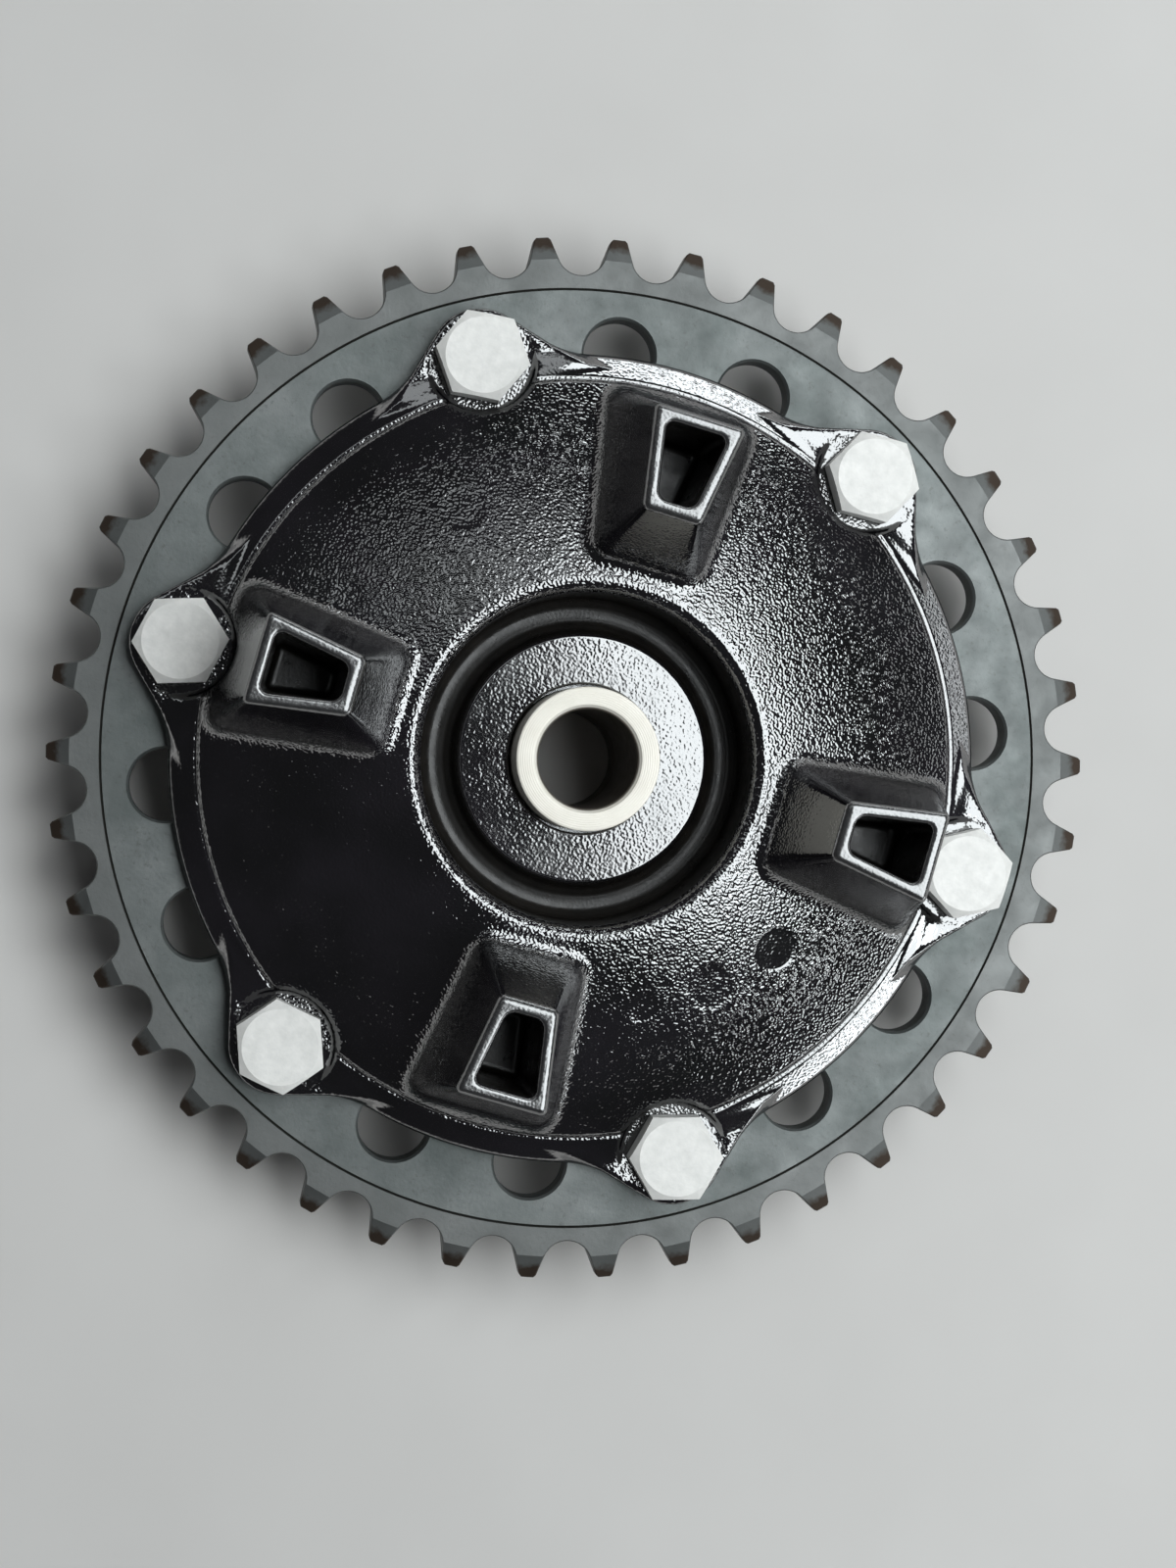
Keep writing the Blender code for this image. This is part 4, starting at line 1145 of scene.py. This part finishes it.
def plain_finish(name, metallic, dark, light, rough, grains, relief, relief_detail=2, specular=0.5):
    material, tree, shader = finish(name, metallic, specular)
    colour_grain, rough_grain, relief_grain = grains
    base = clouded(tree, dark, light, grain=colour_grain, detail=4, roughness=0.6)
    link(tree, shader, "Base Color", base)
    roughened(tree, shader, *rough, grain=rough_grain, detail=3)
    bumped(tree, shader, noise(tree, relief_grain, relief_detail), relief)
    return material


def seen_as_picture(tree):
    """Two shares: rays straight from the camera, and rays that metal or glass sends on."""
    rays = add(tree, "ShaderNodeLightPath", {}).outputs
    mirrored = sums(tree, 'MAXIMUM', rays["Is Glossy Ray"], rays["Is Transmission Ray"])
    return rays["Is Camera Ray"], mirrored


def floor_finish():
    """Pale floor that fades into the backdrop far from the object."""
    material, tree, shader = finish("pale_floor", metallic=0.0, specular=0.2)
    link(tree, shader, "Base Color", clouded(tree, FLOOR_DARK, FLOOR_LIGHT, grain=60, detail=3))
    roughened(tree, shader, low=0.75, high=0.9, grain=12, detail=3)
    radius, _ = axis_place(tree)
    straight, mirrored = seen_as_picture(tree)
    far = span(tree, radius, FLOOR_FADE_START, FLOOR_FADE_END)
    share = sums(tree, 'MULTIPLY', far, sums(tree, 'MAXIMUM', straight, mirrored))
    glow = add(tree, "ShaderNodeEmission", {"Color": (*BACKDROP, 1.0)}).outputs[0]
    faded = add(tree, "ShaderNodeMixShader", {0: share, 1: shader.outputs["BSDF"], 2: glow}).outputs[0]
    link(tree, tree.nodes["Material Output"], "Surface", faded)
    return material


def dress_nodes(looks):
    """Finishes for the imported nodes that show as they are."""
    for name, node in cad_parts.items():
        kind = "bearing_ball" if name.startswith("bearing_ball") else name
        if kind in NODE_LOOKS:
            node.data.materials.clear()
            node.data.materials.append(looks[NODE_LOOKS[kind]])


# Stage, light and camera

def make_floor(material):
    shape = bmesh.new()
    bmesh.ops.create_grid(shape, x_segments=FLOOR_SEGMENTS, y_segments=FLOOR_SEGMENTS, size=FLOOR_HALF)
    mesh = bpy.data.meshes.new("floor")
    shape.to_mesh(mesh)
    shape.free()
    new_object("floor", mesh, material)


def softbox(name, across, off_zenith, wide, long, radiance):
    """Lamp placed by its direction in the picture and its angle from straight up."""
    lamp = bpy.data.lights.new(name, 'AREA')
    lamp.shape = 'RECTANGLE'
    lamp.size, lamp.size_y = wide, long
    lamp.energy = radiance * math.pi * wide * long
    lamp.color = LAMP_TINT
    turn, tilt = math.radians(across) + PICTURE_TURN, math.radians(off_zenith)
    aim = Vector((math.cos(turn) * math.sin(tilt), math.sin(turn) * math.sin(tilt), math.cos(tilt)))
    made = bpy.data.objects.new(name, lamp)
    made.matrix_world = (Matrix.Translation(aim * LAMP_DISTANCE) @ Matrix.Rotation(turn, 4, 'Z')
                         @ Matrix.Rotation(tilt, 4, 'Y'))
    made.visible_camera = False
    bpy.context.scene.collection.objects.link(made)


def make_world():
    """Dim room whose pale backdrop shows to the camera, and in mirrors only near the floor."""
    world = bpy.data.worlds.new("studio")
    bpy.context.scene.world = world
    world.use_nodes = True
    tree = world.node_tree
    glow = tree.nodes["Background"]
    glow.inputs["Strength"].default_value = 1.0
    straight, mirrored = seen_as_picture(tree)
    aim = add(tree, "ShaderNodeTexCoord", {}).outputs["Generated"]
    rise = add(tree, "ShaderNodeSeparateXYZ", {0: aim}).outputs[2]
    near_floor = span(tree, rise, BACKDROP_LOW, BACKDROP_HIGH, 1.0, 0.0)
    seen = sums(tree, 'MAXIMUM', straight, sums(tree, 'MULTIPLY', mirrored, near_floor))
    link(tree, glow, "Color", mixed(tree, seen, ROOM_SHADE, BACKDROP))


def make_camera():
    lens = bpy.data.cameras.new("camera")
    lens.lens = CAMERA_LENS
    camera = bpy.data.objects.new("camera", lens)
    bpy.context.scene.collection.objects.link(camera)
    facing = (Matrix.Rotation(CAMERA_TILT_X, 3, 'X') @ Matrix.Rotation(CAMERA_TILT_Y, 3, 'Y')
              @ Matrix.Rotation(-PICTURE_TURN, 3, 'Z')).transposed()
    spot = facing @ CAMERA_PLACE + Vector((0, 0, FACE_Z * MM))
    camera.matrix_world = Matrix.Translation(spot) @ facing.to_4x4()
    bpy.context.scene.camera = camera
    bpy.context.scene.view_settings.view_transform = 'Standard'


def main():
    looks = {name: plain_finish(name, **facts) for name, facts in PLAIN_FINISHES.items()}
    make_casting(black_paint(), looks["dusty_black"])
    make_sprocket(sprocket_steel())
    make_fasteners(looks["pale_zinc"])
    make_axle_core(bush_steel(), looks["moulded_rubber"])
    dress_nodes(looks)
    make_floor(floor_finish())
    for name, facts in LAMPS.items():
        softbox(name, *facts)
    make_world()
    make_camera()


main()
